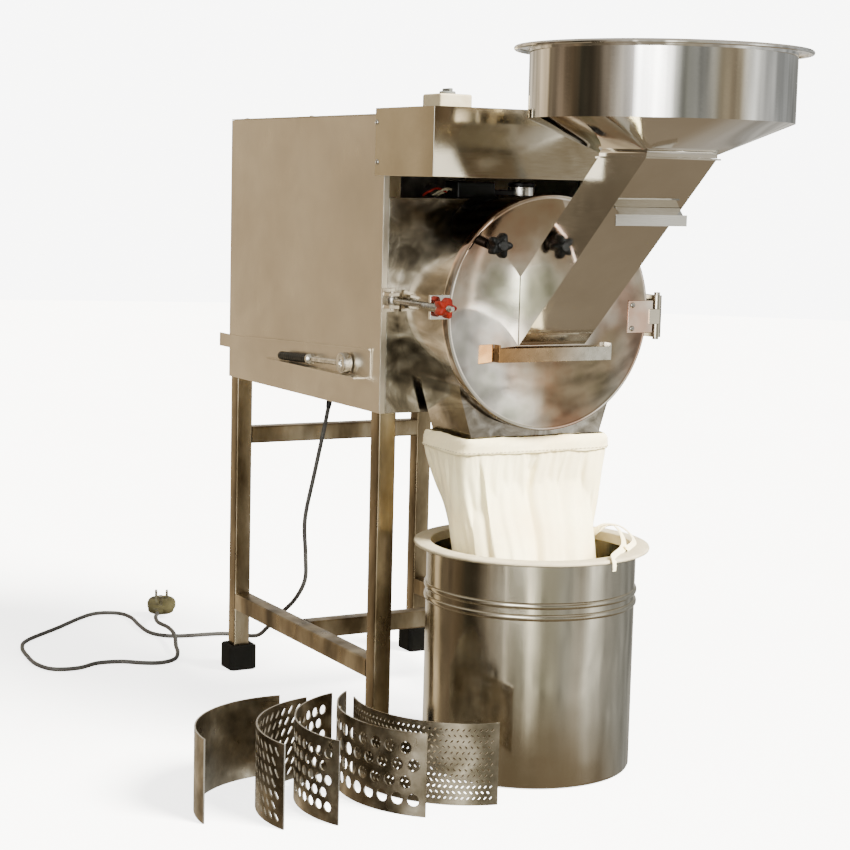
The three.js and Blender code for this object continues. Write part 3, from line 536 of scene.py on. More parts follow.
def dress_cad_nodes():
    """The CAD nodes that stay: their material, and edges rounded after the flat faces are made whole."""
    for name, obj in nodes.items():
        if obj.hide_render:
            continue
        obj.data.materials.clear()
        obj.data.materials.append(FINISH[DRESS.get(name, SLOT_OF[name])])
        custom = obj.data.attributes.get("custom_normal")
        if custom:
            obj.data.attributes.remove(custom)
        for polygon in obj.data.polygons:
            polygon.use_smooth = True
        weld = obj.modifiers.new("weld", "WELD")
        weld.merge_threshold = 0.01 * MM
        flat = obj.modifiers.new("flat", "DECIMATE")
        flat.decimate_type = "DISSOLVE"
        flat.angle_limit = math.radians(0.8)
        add_bevel(obj, next((w for start, w in EDGE_WIDTH.items() if name.startswith(start)), FINE_EDGE))


# ---- Cord and plug ----
CORD_RADIUS = 3.25
RELIEF_STEPS = 9
RIB_DEPTH = 0.35
CORD_ROUTE = [
    (-25, 435, 437.5), (-26, 435, 415), (-32, 437, 376), (-48, 440, 296), (-62, 440, 229),
    (-60, 440, 174), (-58, 445, 134), (-64, 468, 99), (-70, 510, 67), (-66, 565, 34), (-62, 612, 11),
    (-74, 650, 4), (-98, 672, 4), (-163, 682, 4), (-190, 697, 4), (-203, 728, 4), (-200, 782, 4),
    (-193, 838, 4), (-202, 876, 4), (-234, 889, 4), (-270, 868, 4), (-330, 811, 4), (-398, 750, 4),
    (-421, 705, 4), (-430, 648, 4), (-432, 596, 4), (-418, 558, 4), (-382, 550, 4), (-346, 567, 4),
    (-310, 562, 4), (-282, 541, 4), (-256, 531, 4.2), (-231, 541, 5.3), (-214, 572, 7), (-204, 605, 9),
    (-187, 655, 14), (-180, 700, 15.5), (-181, 742, 15), (-172, 778, 15.5), (-157, 806, 17),
]


def catmull_rom(points, steps):
    """A smooth path through points, with so many steps between each pair."""
    path = []
    for i in range(len(points) - 1):
        p0, p3 = points[max(i - 1, 0)], points[min(i + 2, len(points) - 1)]
        p1, p2 = points[i], points[i + 1]
        slope, bend, twist = p2 - p0, 2 * p0 - 5 * p1 + 4 * p2 - p3, 3 * p1 - p0 - 3 * p2 + p3
        for j in range(steps):
            t = j / steps
            path.append(0.5 * (2 * p1 + slope * t + bend * t * t + twist * t**3))
    path.append(points[-1])
    return path


def ahead_at(path, i):
    return (path[min(i + 1, len(path) - 1)] - path[max(i - 1, 0)]).normalized()


def tube_rings(path, radius, sides):
    """Rings round a path, carried along it without twisting."""
    rings = []
    side = None
    for i, point in enumerate(path):
        ahead = ahead_at(path, i)
        if side is None:
            side = ahead.orthogonal().normalized()
        side = (side - ahead * side.dot(ahead)).normalized()
        other = ahead.cross(side)
        turns = [TAU * j / sides for j in range(sides)]
        rings.append([point + (side * math.cos(t) + other * math.sin(t)) * radius for t in turns])
    return rings


def tapered_rings(path, first, last):
    """A sleeve round a path whose radius, in millimetres, runs from first to last, with shallow ribs."""
    sleeve = []
    for i, (point, ring) in enumerate(zip(path, tube_rings(path, 1.0, 24))):
        radius = first + (last - first) * (i / (len(path) - 1)) - RIB_DEPTH * (i % 2)
        sleeve.append([point + (corner - point) * radius * MM for corner in ring])
    return sleeve


# The plug in its own millimetres, lying on z = 0: levels of its body as (z, share of its size), and
# its pins as x and y ranges and the height that they reach.
PLUG_EDGE = [(0, 0.72), (0.8, 0.84), (2.6, 0.95), (5, 1.0)]
PLUG_LEVELS = PLUG_EDGE + [(16 - z, share) for z, share in reversed(PLUG_EDGE)]
PLUG_HALF = (24, 22.5)
PLUG_SIDES = 64
PLUG_PINS = [(-3, 3, -13, -9, 34), (-11, -7, 5, 11, 32), (7, 11, 5, 11, 32)]
PLUG_PLACE = (-136, 845, 12.4)
PLUG_TURN = -0.45
PLUG_TILT = 0.35


def plug_level(z, share):
    """One outline of the plug's body: a rounded square with a waist where the fingers hold it."""
    ring = []
    for i in range(PLUG_SIDES):
        t = TAU * (i + 0.5) / PLUG_SIDES
        c, s = math.cos(t), math.sin(t)
        waist = 1 - 0.10 * math.exp(-((s + 0.25) ** 2) / 0.03)
        x = PLUG_HALF[0] * share * waist * math.copysign(abs(c) ** 0.72, c)
        ring.append(Vector((x, PLUG_HALF[1] * share * math.copysign(abs(s) ** 0.8, s), z)))
    return ring


def add_plug():
    """A rounded moulded body lying on its side, with three flat pins and a ribbed sleeve."""
    body = skin("plug_body", [plug_level(*level) for level in PLUG_LEVELS], loops=False, smooth=70)
    pins = []
    for i, (x0, x1, y0, y1, high) in enumerate(PLUG_PINS):
        rings = [[Vector((x, y, z)) for x, y in box_outline(x0, x1, y0, y1)] for z in (14, high)]
        # The pins are made in millimetres, and are scaled with the body below.
        pins.append(add_bevel(skin(f"pin_{i}", rings, loops=False), 0.7 / MM))
    turn = Matrix.Rotation(PLUG_TURN, 4, "Z") @ Matrix.Rotation(PLUG_TILT, 4, "X")
    lay = Matrix.Translation(at(*PLUG_PLACE)) @ turn @ Matrix.Scale(MM, 4)
    contacts = merge("plug_pins", pins)
    for piece in (body, contacts):
        piece.data.transform(lay)

    # The sleeve runs from inside the body to a little past the cord's end.
    before_end, cord_end = (at(*point) for point in CORD_ROUTE[-2:])
    exit_points = [lay @ Vector((0, y, 8)) for y in (-12, -20)]
    sleeve_path = catmull_rom(exit_points + [cord_end, cord_end.lerp(before_end, 0.22)], 6)
    sleeve = skin("plug_sleeve", tapered_rings(sleeve_path, 6.6, 4.2), loops=False)
    finish_piece(contacts, slot="tool_steel")
    return finish_piece(merge("plug_moulding", [body, sleeve]), "plug")


def add_cord():
    path = catmull_rom([at(*p) for p in CORD_ROUTE], 6)
    cord = skin("mains_cord", tube_rings(path, CORD_RADIUS * MM, 14), loops=False)
    finish_piece(cord, "power_cord")
    relief = tapered_rings(path[: RELIEF_STEPS + 1], 6.8, 4.0)
    sleeve = skin("strain_relief", relief, loops=False)
    finish_piece(sleeve, slot="black_plastic")
    plug = add_plug()


# ---- Stand ----
LEG_X = 153.5
LEG_Y = {"front": 15.5, "rear": 475}
TUBE = 25
TUBE_WALL = 1.5


def square_tube(name, a, b, axis, low, high):
    """A square tube with rounded corners along an axis, for the CAD node of that name."""
    outer = rounded_square(a, b, TUBE / 2, 2.6)
    inner = rounded_square(a, b, TUBE / 2 - TUBE_WALL, 1.2)
    rings = []
    for loop, c in ((outer, low), (outer, high), (inner, high), (inner, low)):
        rings.append([at(*lengthwise(axis, p, q, c)) for p, q in loop])
    finish_piece(skin(name + "_tube", rings), name)


def add_stand():
    for side, x in (("left", -LEG_X), ("right", LEG_X)):
        for end, y in LEG_Y.items():
            square_tube(f"leg_{end}_{side}", x, y, "Z", 10.3, 824)
        square_tube(f"lower_rail_{side}", x, 105, "Y", 28.3, 462.2)
    for name, y, z in (("lower_cross_rail", 262.5, 105), ("upper_rear_rail", 475, 358.5)):
        square_tube(name, y, z, "X", -140.7, 140.7)


# ---- Drum, door and latch ----
AXIS_Z = 582.5
DRUM_RADIUS = 146
DRUM_FRONT = -121.7
DRUM_BACK = -0.3
DOOR_RADIUS = 148
DOOR_FRONT = -136
HINGE = (166, -131)
STAR = (-90, 668)
BOLT = (-160, -14, 592)
KNOB_LOBES = 5
THREAD_START = -97
THREAD_PITCH = 1.5
THREAD_TURNS = 48


def disc(radius, low, high):
    return [(0, low), (radius, low), (radius, high), (0, high)]


def spout_section(inset, low, high):
    """The discharge spout in (x, z): nearly straight where the bag ties on, flared above."""
    right = [(94 - inset, low), (96.5 - inset, 428), (112 - inset, 478), (120 - inset, high)]
    return right + [(-x, z) for x, z in reversed(right)]


def add_drum():
    axis = at(0, 0, AXIS_Z)
    drum = turned("drum", disc(DRUM_RADIUS, DRUM_FRONT, DRUM_BACK), axis, "Y", 160)
    combine(drum, prism("spout", spout_section(0, 395, 520), "Y", -112, -12), "UNION")
    combine(drum, turned("bore", disc(DRUM_RADIUS - 3, DRUM_FRONT - 5, DRUM_BACK - 4), axis, "Y", 160))
    combine(drum, prism("passage", spout_section(2, 390, 520), "Y", -110, -14))
    combine(drum, turned("shaft_hole", disc(13, -10, 10), axis, "Y", 48))
    smooth_sides(drum.data, 30)
    finish_piece(drum, "drum_housing", look="drum_steel")


def add_door():
    """A dished disc with a raised rim, the hinge leaf and the lug that the swing bolt drops into."""
    r = DOOR_RADIUS
    front = DOOR_FRONT
    dish = [(0, front + 0.9), (r - 6.4, front + 0.9), (r - 5.2, front), (r - 1.6, front)]
    dish += [(r - 0.4, front + 0.5), (r, front + 1.7), (r, -122.3), (r - 3, -122.3)]
    dish += [(r - 3, front + 3), (0, front + 3)]
    door = turned("door_disc", dish, at(0, 0, AXIS_Z), "Y", 160, smooth=50)
    combine(door, slab("inlet", -43, 51, -150, -120, 546, 626, 0))
    smooth_sides(door.data, 40)
    finish_piece(door, "door", look="door_steel")

    hx, hy = HINGE
    leaf = slab("hinge_leaf", 118, 156, front - 1.2, front + 1, 556, 598, 0.8)
    strap = slab("hinge_strap", 150, hx, front - 3, front + 1, 567.3, 586.7, 0.5)
    knuckle = turned("hinge_knuckle", [(4.3, 567.3), (6.5, 567.3), (6.5, 586.7), (4.3, 586.7)], at(hx, hy, 0))
    finish_piece(leaf, body="door", slot="polished_steel", look="door_steel")
    for piece in (strap, add_bevel(knuckle, 0.4)):
        finish_piece(piece, body="door", slot="polished_steel", look="hood_steel")
    fork = [(-172, 577), (-144, 577), (-144, 607), (-172, 607)]
    fork += [(-172, 597), (-153, 597), (-153, 587), (-172, 587)]
    lug = add_bevel(prism("latch_lug", fork, "Y", front, front + 5), 0.7)
    finish_piece(lug, body="door", slot="polished_steel")


def lobed(name, x, z, radius, depth, profile):
    """A hand knob along Y: lobes round a profile of (share of the radius, y)."""
    sides = KNOB_LOBES * 16
    rings = []
    for share, y in profile:
        ring = []
        for i in range(sides):
            t = TAU * i / sides
            r = share * (radius + depth * math.cos(KNOB_LOBES * t))
            ring.append(at(x + r * math.cos(t), y, z + r * math.sin(t)))
        rings.append(ring)
    return skin(name, rings, loops=False, smooth=60)


def add_knobs():
    y = DOOR_FRONT - 0.3
    x, z = STAR
    head = [(0.86, y - 15), (0.97, y - 16.2), (1.0, y - 18), (1.0, y - 26), (0.95, y - 28.6), (0.8, y - 30)]
    stem = [(0, y), (6, y), (6, y - 15.5), (0, y - 15.5)]
    cap = [(0, y - 29), (7, y - 29), (7, y - 31.8), (5.6, y - 33), (0, y - 33)]
    star = [lobed("star_head", x, z, 13, 3, head)]
    star += [turned("star_stem", profile, at(x, 0, z), "Y", 40) for profile in (stem, cap)]
    finish_piece(merge("star_knob_moulding", star), "star_knob")

    x, _, z = BOLT
    grip = [(0.82, -143), (0.96, -144), (1.0, -146), (1.0, -156), (0.94, -158.4), (0.76, -159.6)]
    knob = lobed("latch_grip", x, z, 10.8, 2.4, grip)
    combine(knob, turned("bore", disc(3.9, -170, -140), at(x, 0, z), "Y", 24))
    smooth_sides(knob.data, 45)
    finish_piece(knob, "latch_knob")


def add_latch():
    """The swing bolt: an eye on the bracket's pin and a threaded rod that carries the clamping knob."""
    x, y, z = BOLT
    loop = [(3.4, z - 5), (6.6, z - 5), (7.2, z - 4), (7.2, z + 4), (6.6, z + 5), (3.4, z + 5)]
    eye = turned("bolt_eye", loop, at(x, y, 0))
    shank = [(0, y - 5), (3.4, y - 5), (3.4, -96)]
    for i in range(THREAD_TURNS):
        start = THREAD_START - i * THREAD_PITCH
        shank += [(3.05, start), (3.6, start - THREAD_PITCH / 2)]
    shank += [(3.0, -169.4), (2.6, -170), (0, -170)]
    rod = turned("bolt_rod", shank, at(x, 0, z), "Y", 24, smooth=20)
    finish_piece(merge("swing_bolt_forging", [eye, rod]), "swing_bolt")


# ---- Hopper ----
HOPPER = (2, -354)
BOWL_RADIUS = 152
RIM_RADIUS = 170
HOPPER_TOP = 899.4
HOPPER_WALL = 1.6
HOPPER_BEAD = 2.6
BOWL_BOTTOM = 817.7
NECK = (-45, 53, -395.97, -300.86)
NECK_TOP = 781
NECK_BOTTOM = 777.3
FLAT = 33
HOPPER_STEPS = 180


def circle_ring(radius, z):
    centre = at(*HOPPER, 0)
    return [centre + at_turn(radius, TAU * i / HOPPER_STEPS, z) for i in range(HOPPER_STEPS)]


def neck_ring(inset, z):
    """The neck's rectangle in as many points. Each side takes FLAT degrees either side of its middle."""
    x0, x1, y0, y1 = NECK
    half_x = (x1 - x0) / 2 - inset
    half_y = (y1 - y0) / 2 - inset
    points = []
    for i in range(HOPPER_STEPS):
        degrees = 360 * i / HOPPER_STEPS
        side = round(degrees / 90)
        along = max(-1, min(1, (degrees - 90 * side) / FLAT))
        dx, dy = [(1, along), (-along, 1), (-1, -along), (along, -1)][side % 4]
        points.append(at((x0 + x1) / 2 + dx * half_x, (y0 + y1) / 2 + dy * half_y, z))
    return points


def between(low, high, steps):
    """Rings at equal steps from one ring to another, without the last."""
    return [[a.lerp(b, i / steps) for a, b in zip(low, high)] for i in range(steps)]


def add_hopper():
    """Bowl, rolled rim and square-to-round transition, as one skin of sheet."""
    top, bottom, bowl = HOPPER_TOP, BOWL_BOTTOM, BOWL_RADIUS
    within = bowl - HOPPER_WALL
    rim = RIM_RADIUS - HOPPER_BEAD
    lip = [(rim, top - 1.2), (bowl + 3, top - 1.2), (bowl + 0.4, top - 2.2), (within, top - 5)]
    edge = [(bowl, top - 6.4), (bowl + 0.9, top - 3.6), (bowl + 3, top - 2.6)]
    edge.append((rim - HOPPER_BEAD + 0.4, top - 2.6))
    for i in range(9):
        t = math.radians(150 + i * 36)
        edge.append((rim + HOPPER_BEAD * math.cos(t), top - HOPPER_BEAD + HOPPER_BEAD * math.sin(t)))

    rings = [circle_ring(*level) for level in lip]
    rings += between(circle_ring(within, top - 5.4), circle_ring(within, bottom + 3), 6)
    rings += between(circle_ring(within, bottom + 1.7), neck_ring(HOPPER_WALL, NECK_TOP + 1.7), 8)
    rings += [neck_ring(HOPPER_WALL, z) for z in (NECK_TOP + 1.7, NECK_BOTTOM)]
    rings.append(neck_ring(0, NECK_BOTTOM))
    rings += between(neck_ring(0, NECK_TOP), circle_ring(bowl, bottom), 8)
    rings += between(circle_ring(bowl, bottom), circle_ring(bowl, top - 7), 6)
    rings += [circle_ring(*level) for level in edge]
    finish_piece(skin("hopper_bowl", rings, smooth=14), "hopper", look="hopper_steel")

    # Weld seam up the back of the bowl.
    seam = [at(HOPPER[0] + 0.5, HOPPER[1] + bowl + 0.1, bottom + 4 + i * 3) for i in range(24)]
    weld = skin("hopper_seam", tube_rings(seam, 1.1 * MM, 10), loops=False)
    finish_piece(weld, body="door", slot="polished_steel", look="weld_bead")


# ---- Bin ----
BIN = (1, -107)
BIN_RADIUS = 134.4
BIN_HEIGHT = 282.5
BIN_WALL = 1.6
BIN_BEADS = (216.7, 231.2)
BIN_SEAM = math.radians(-22)
RING_RADIUS = 151.4


def add_bin():
    r = BIN_RADIUS
    within = r - BIN_WALL
    centre = at(*BIN, 0)
    profile = [(0, 0), (r - 4, 0), (r - 1.2, 1.2), (r, 4)]
    for z in BIN_BEADS:
        for i in range(9):
            t = math.pi * i / 8
            profile.append((r + 2.6 * math.sin(t), z - 4.2 * math.cos(t)))
    profile += [(r, BIN_HEIGHT - 0.8), (r - BIN_WALL / 2, BIN_HEIGHT), (within, BIN_HEIGHT - 0.8)]
    profile += [(within, 4), (0, 4)]
    finish_piece(turned("bin_shell", profile, centre, "Z", 144, smooth=40), "collecting_bin")

    # The side seam: a flat lapped strip from the bottom edge to the lower bead, and on to the rim.
    strips = []
    for low, high in ((2, 211), (237, 281)):
        rings = []
        for turn in (BIN_SEAM - 0.03, BIN_SEAM + 0.03):
            lap = [(r - 0.4, low), (r + 0.5, low), (r + 0.5, high), (r - 0.4, high)]
            rings.append([centre + at_turn(radius, turn, z) for radius, z in lap])
        strips.append(skin(f"strip_{low}", rings, loops=False))
    finish_piece(merge("bin_seam", strips), slot="bin_steel")

    z = BIN_HEIGHT + 0.3
    edge = RING_RADIUS
    rim = [(r - 5, z - 8), (r - 2.2, z - 8), (r - 2.2, z), (edge - 2.4, z), (edge - 0.6, z + 0.9)]
    rim += [(edge, z + 2.5), (edge - 0.6, z + 4.2), (edge - 2.4, z + 5)]
    rim += [(r - 3.6, z + 5), (r - 4.8, z + 4.2), (r - 5, z + 3)]
    finish_piece(turned("bin_rim", rim, centre, "Z", 144, smooth=50), "bin_ring")


# ---- Loose sieves ----
SIEVE_RADIUS = 140
SIEVE_THICKNESS = 2
SIEVE_HEIGHT = 101
HOLE_SIDES = 16
PLAIN_COLUMNS = 24
PLAIN_ROWS = 4
# Centre x and y, first and last angle, cell, rows, hole length and width, tilt of even and of odd rows.
SIEVES = {
    "sieve_plain": (-338, -174, 82, 181, 0, 0, 0, 0, 0, 0),
    "sieve_slotted": (-268, -195, 100, 196, 13, 7, 12.5, 4, -50, -50),
    "sieve_round": (-213, -185, 107, 206, 16, 5, 12, 12, 0, 0),
    "sieve_large": (-142, -156, 131, 230, 21, 4, 15.5, 15.5, 0, 0),
    "sieve_fine": (-103, -120, 163, 259, 7, 13, 4.6, 1.9, 45, -45),
}


def slot_reach(t, length, width, tilt):
    """How far a rounded slot reaches from its middle in direction t."""
    power = 2 if length == width else 2.8
    a = abs(math.cos(t - tilt)) / (length / 2)
    b = abs(math.sin(t - tilt)) / (width / 2)
    return (a**power + b**power) ** (-1 / power)


def stations(length, count, step):
    """Places at equal steps along the middle of a length, and its two ends. Also the first step's index."""
    margin = (length - count * step) / 2
    ends = int(margin > 0.01)
    return [0] * ends + [margin + i * step for i in range(count + 1)] + [length] * ends, ends


def add_sieve(node, cx, cy, start, end, cell, rows, length, width, even_tilt, odd_tilt):
    """A curved plate over a lattice of half cells: each hole takes up a block of two by two."""
    arc = math.radians(end - start) * SIEVE_RADIUS
    columns = int((arc - 8) / cell) if cell else PLAIN_COLUMNS
    rows = rows or PLAIN_ROWS
    us, first_a = stations(arc, 2 * columns, (cell or arc / columns) / 2)
    vs, first_b = stations(SIEVE_HEIGHT, 2 * rows, (cell or SIEVE_HEIGHT / rows) / 2)
    centre = at(cx, cy, 0)
    points = []
    faces = []

    def place(u, v, radius):
        points.append(centre + at_turn(radius, math.radians(start) + u / SIEVE_RADIUS, v))
        return len(points) - 1

    radii = (SIEVE_RADIUS - SIEVE_THICKNESS, SIEVE_RADIUS)
    grids = [[[place(u, v, radius) for v in vs] for u in us] for radius in radii]
    taken = set()
    around = [(1, 0), (1, 1), (0, 1), (-1, 1), (-1, 0), (-1, -1), (0, -1), (1, -1)]
    for row in range(rows if cell else 0):
        b = first_b + 1 + 2 * row
        tilt = math.radians(odd_tilt if row % 2 else even_tilt)
        turns = [TAU * k / HOLE_SIDES for k in range(HOLE_SIDES)]
        rim = [(t, slot_reach(t, length, width, tilt)) for t in turns]
        for column in range(columns - row % 2):
            a = first_a + 1 + 2 * column + row % 2
            taken.update({(a - 1, b - 1), (a, b - 1), (a - 1, b), (a, b)})
            edge = [(us[a] + r * math.cos(t), vs[b] + r * math.sin(t)) for t, r in rim]
            holes = [[place(u, v, radius) for u, v in edge] for radius in radii]
            for k in range(HOLE_SIDES):
                n = (k + 1) % HOLE_SIDES
                faces.append((holes[0][k], holes[0][n], holes[1][n], holes[1][k]))
            for grid, hole in zip(grids, holes):
                for k in range(8):
                    corners = tuple(grid[a + da][b + db] for da, db in (around[k], around[(k + 1) % 8]))
                    faces.append(corners + (hole[(2 * k + 2) % HOLE_SIDES], hole[2 * k + 1], hole[2 * k]))
    g, h = grids
    last_a, last_b = len(us) - 1, len(vs) - 1
    for a in range(last_a):
        for b in range(last_b):
            if (a, b) not in taken:
                faces += [(grid[a][b], grid[a + 1][b], grid[a + 1][b + 1], grid[a][b + 1]) for grid in grids]
        faces += [(g[a][b], g[a + 1][b], h[a + 1][b], h[a][b]) for b in (0, last_b)]
    for b in range(last_b):
        faces += [(g[a][b], g[a][b + 1], h[a][b + 1], h[a][b]) for a in (0, last_a)]
    sieve = mesh_piece(node + "_plate", points, faces, smooth=30)
    finish_piece(sieve, node)
    sieve.data.materials.append(FINISH["worn_edge"])
    for polygon in sieve.data.polygons:
        outward = polygon.center - centre
        outward.z = 0
        polygon.material_index = int(abs(polygon.normal.dot(outward.normalized())) < 0.5)


# ---- Fittings ----
SPANNER_PLACE = (-177.5, 84, 503.8)
SPANNER_TILT = -0.04
GRIP_GROOVES = 12
CAPACITOR_BASE = 722.3
CAN = (50, 24)


def add_spanner():
    """A ratchet handle: knurled black grip, plated shank and a round head with a bore through it."""
    grip = [(0, 108), (5.2, 108), (6, 109.5)]
    for i in range(GRIP_GROOVES):
        start = 112 + i * 7
        grip += [(6, start), (5.4, start + 0.8), (5.4, start + 1.6), (6, start + 2.4)]
    grip += [(6, 198), (4.6, 200), (0, 200)]
    shank = [(0, 0), (4.1, 0), (4.1, 98), (6, 100), (7.5, 101), (7.5, 107), (6.4, 108.4), (0, 108.4)]
    head = [(5, -6), (12.8, -6), (14, -4.8), (14, 4.8), (12.8, 6), (5, 6)]
    lay = Matrix.Translation(at(*SPANNER_PLACE)) @ Matrix.Rotation(SPANNER_TILT, 4, "X")
    for name, profile, axis, sides, smooth, slot in (
        ("spanner_grip", grip, "Y", 32, 25, "black_plastic"),
        ("spanner_shank", shank, "Y", 32, 35, "tool_steel"),
        ("spanner_head", head, "X", 48, 35, "tool_steel"),
    ):
        piece = turned(name, profile, Vector(), axis, sides, smooth)
        piece.data.transform(lay)
        finish_piece(piece, body=BODY_OF["socket_spanner"], slot=slot)
    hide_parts("socket_spanner")


def add_capacitor():
    """What shows in the window under the hood: a block, a clamp, a can with its cap and three leads."""
    base = CAPACITOR_BASE
    finish_piece(slab("capacitor_block", -57, 0, 6, 42, base, base + 22, 2.5), "capacitor")
    clamp = slab("capacitor_clamp", -1, 34, 16, 32, base, base + 12, 1.5)
    can = [(0, 0), (17, 0), (18, 1), (18, 16), (17, 17), (0, 17)]
    can = turned("capacitor_can", can, at(*CAN, base), "Z", 48)
    cap = [(0, 17), (16.6, 17), (17.4, 18), (17.4, 21), (16, 22), (0, 22)]
    cap = turned("capacitor_cap", cap, at(*CAN, base), "Z", 48)
    for piece, slot in ((clamp, "black_plastic"), (can, "tool_steel"), (cap, "black_plastic")):
        finish_piece(piece, slot=slot)
    for i, (x, slot) in enumerate(((-78, "cream_plastic"), (-92, "red_plastic"), (-70, "cream_plastic"))):
        route = [(0, 34 + i * 2, 3), (6, 26, 9), (16, 22 + i * 4, 12), (30, 26, 8)]
        path = catmull_rom([at(x + dx, y, base + dz) for dx, y, dz in route], 8)
        lead = skin(f"capacitor_lead_{i + 1}", tube_rings(path, 1.6 * MM, 10), loops=False)
        finish_piece(lead, slot=slot)


def add_switch_knob():
    knob = [(0, 860.3), (11, 860.3), (11, 863), (10, 864), (0, 864)]
    dial = turned("switch_dial", knob, at(-15, 115, 0), "Z", 48)
    pointer = slab("switch_pointer", -18, -12, 105, 125, 863.5, 868, 1.2)
    finish_piece(merge("switch_turn_knob", [dial, pointer]), "switch_knob")


def screw_rows():
    """The screws of each body: x, y, z, the axis of the head and the way it faces."""
    sides = [(way * 169.8, y, z, "X", way) for way in (-1, 1) for y, z in ((17, 766), (20, 816))]
    back = [(x, 491, z, "Y", 1) for z in (470, 640, 805) for x in (-150, 150)]
    top = [(x, y, 827, "Z", 1) for y in (470, 250) for x in (-152, 152)]
    return {"frame": sides + back + top, "door": [(124, -137.2, z, "Y", -1) for z in (562, 592)]}


def add_screws():
    """Domed heads with a dimple, made as one piece to a body."""
    dome = [(0, 1.1), (0.7, 1.1), (1.1, 1.9), (2.2, 1.7), (3.3, 1.0), (3.8, 0), (3.8, -0.4), (0, -0.4)]
    for body, rows in screw_rows().items():
        heads = []
        for x, y, z, axis, way in rows:
            profile = [(radius, way * along) for radius, along in dome]
            heads.append(turned(f"head_{len(heads)}", profile, at(x, y, z), axis, 24, smooth=50))
        finish_piece(merge(f"{body}_screws", heads), body=body, slot="tool_steel")


# ---- Collecting bag ----
# Height, middle x and y, half width and depth, squareness (2 is an ellipse, higher is squarer).
BAG_LEVELS = [
    (425, 0, -62, 103.5, 55.5, 20),
    (414, 1, -61, 109, 58, 9),
    (402, 1, -61, 112, 59, 7),
    (372, 1, -67, 109, 57.5, 5),
    (340, 2, -77, 105.5, 56, 4),
    (310, 2, -87, 104, 58, 3.4),
    (270, 2, -96, 103, 62, 3),
    (200, 2, -103, 103, 70, 2.8),
    (120, 2, -107, 99, 76, 2.6),
    (70, 2, -107, 84, 66, 2.4),
    (52, 2, -107, 50, 40, 2.2),
]
BAG_ROUND = 210
BAG_STEPS = 10
HEM_BOTTOM = 405
OUTLINE_POINTS = 720
FOLD_FADE = 24
# The hem's profile: height, and how far it stands proud of the cloth.
HEM = [
    (404.2, 0.3), (404.0, 1.5), (405.5, 2.1), (409, 2.5), (413, 2.9), (417, 3.1), (421, 2.7), (424.2, 1.6),
    (424.9, 0.4), (423.5, -0.8),
]
STITCH_HEIGHT = 407.5
STITCH_SIDES = 6
TAPE_FACING = Vector((0.45, -0.6, 0.66))
SETTLING_FRAMES = 22
SETTLING_REACH = 11
# The drawstring's tape and its second end, from the bag's corner over the bin's ring.
TIE_ROUTE = [
    (90, -117, 296), (99, -127, 305), (106, -141, 306), (105, -158, 299), (93, -182, 292),
    (73, -208, 289.8), (50, -230, 289.4), (34, -246, 289.4), (27.5, -256.6, 288), (26.5, -259.5, 282),
    (26, -260, 275),
]
TIE_END = [
    (92, -113, 293), (106, -118, 303), (119, -132, 304), (123, -151, 297), (116, -172, 291),
    (98, -192, 289.6), (80, -206, 289.6),
]
# Folds: how many round the bag, their depth in millimetres and where they start.
BAG_FOLDS = [(5, 2.4, 0.4), (9, 2.3, 2.1), (14, 1.9, 4.0), (23, 1.3, 1.0), (37, 0.6, 5.1)]


def bag_section(level, swell=0.0):
    """The bag's outline at one level, at even steps round it, with folds that deepen below the hem."""
    z, x, y, a, b, power = level
    loop = []
    for i in range(OUTLINE_POINTS):
        t = TAU * (i + 0.5) / OUTLINE_POINTS
        c, s = math.cos(t), math.sin(t)
        px = (a + swell) * math.copysign(abs(c) ** (2 / power), c)
        py = (b + swell) * math.copysign(abs(s) ** (2 / power), s)
        loop.append(Vector((x + px, y + py, z)))
    middle_point = Vector((x, y, z))
    depth = min(1.0, max(0.0, (HEM_BOTTOM - z) / FOLD_FADE))
    section = []
    for i, point in enumerate(evenly(loop, BAG_ROUND)):
        t = TAU * i / BAG_ROUND
        wander = 0.5 * noise.noise(Vector((z / 60, t, 0)))
        fold = sum(size * math.sin(many * (t + 0.12 * wander) + start) for many, size, start in BAG_FOLDS)
        section.append(at(*(point + (point - middle_point).normalized() * (fold - 1.5) * depth)))
    return section


def nearest_level(levels, z):
    return min(levels, key=lambda one: abs(one[0] - z)).copy()


CLOTH = {
    "quality": 5,
    "mass": 0.2,
    "tension_stiffness": 25,
    "compression_stiffness": 25,
    "shear_stiffness": 6,
    "bending_stiffness": 0.12,
    "shrink_min": -0.065,
    "vertex_group_mass": "held",
}


def settle(cloth, held, frames, reach):
    """Lets a sheet hang under its own weight with a little slack. No point moves further than reach."""
    cloth.vertex_groups.new(name="held").add(held, 1.0, "REPLACE")
    start = [vertex.co.copy() for vertex in cloth.data.vertices]
    modifier = cloth.modifiers.new("cloth", "CLOTH")
    for name, value in CLOTH.items():
        setattr(modifier.settings, name, value)
    modifier.settings.effector_weights.gravity = 0.35
    modifier.point_cache.frame_end = frames
    for moment in range(1, frames + 1):
        bpy.context.scene.frame_set(moment)
    bake(cloth)
    bpy.context.scene.frame_set(1)
    cloth.vertex_groups.clear()
    for vertex, was in zip(cloth.data.vertices, start):
        move = vertex.co - was
        if move.length > reach:
            vertex.co = was + move * (reach / move.length)


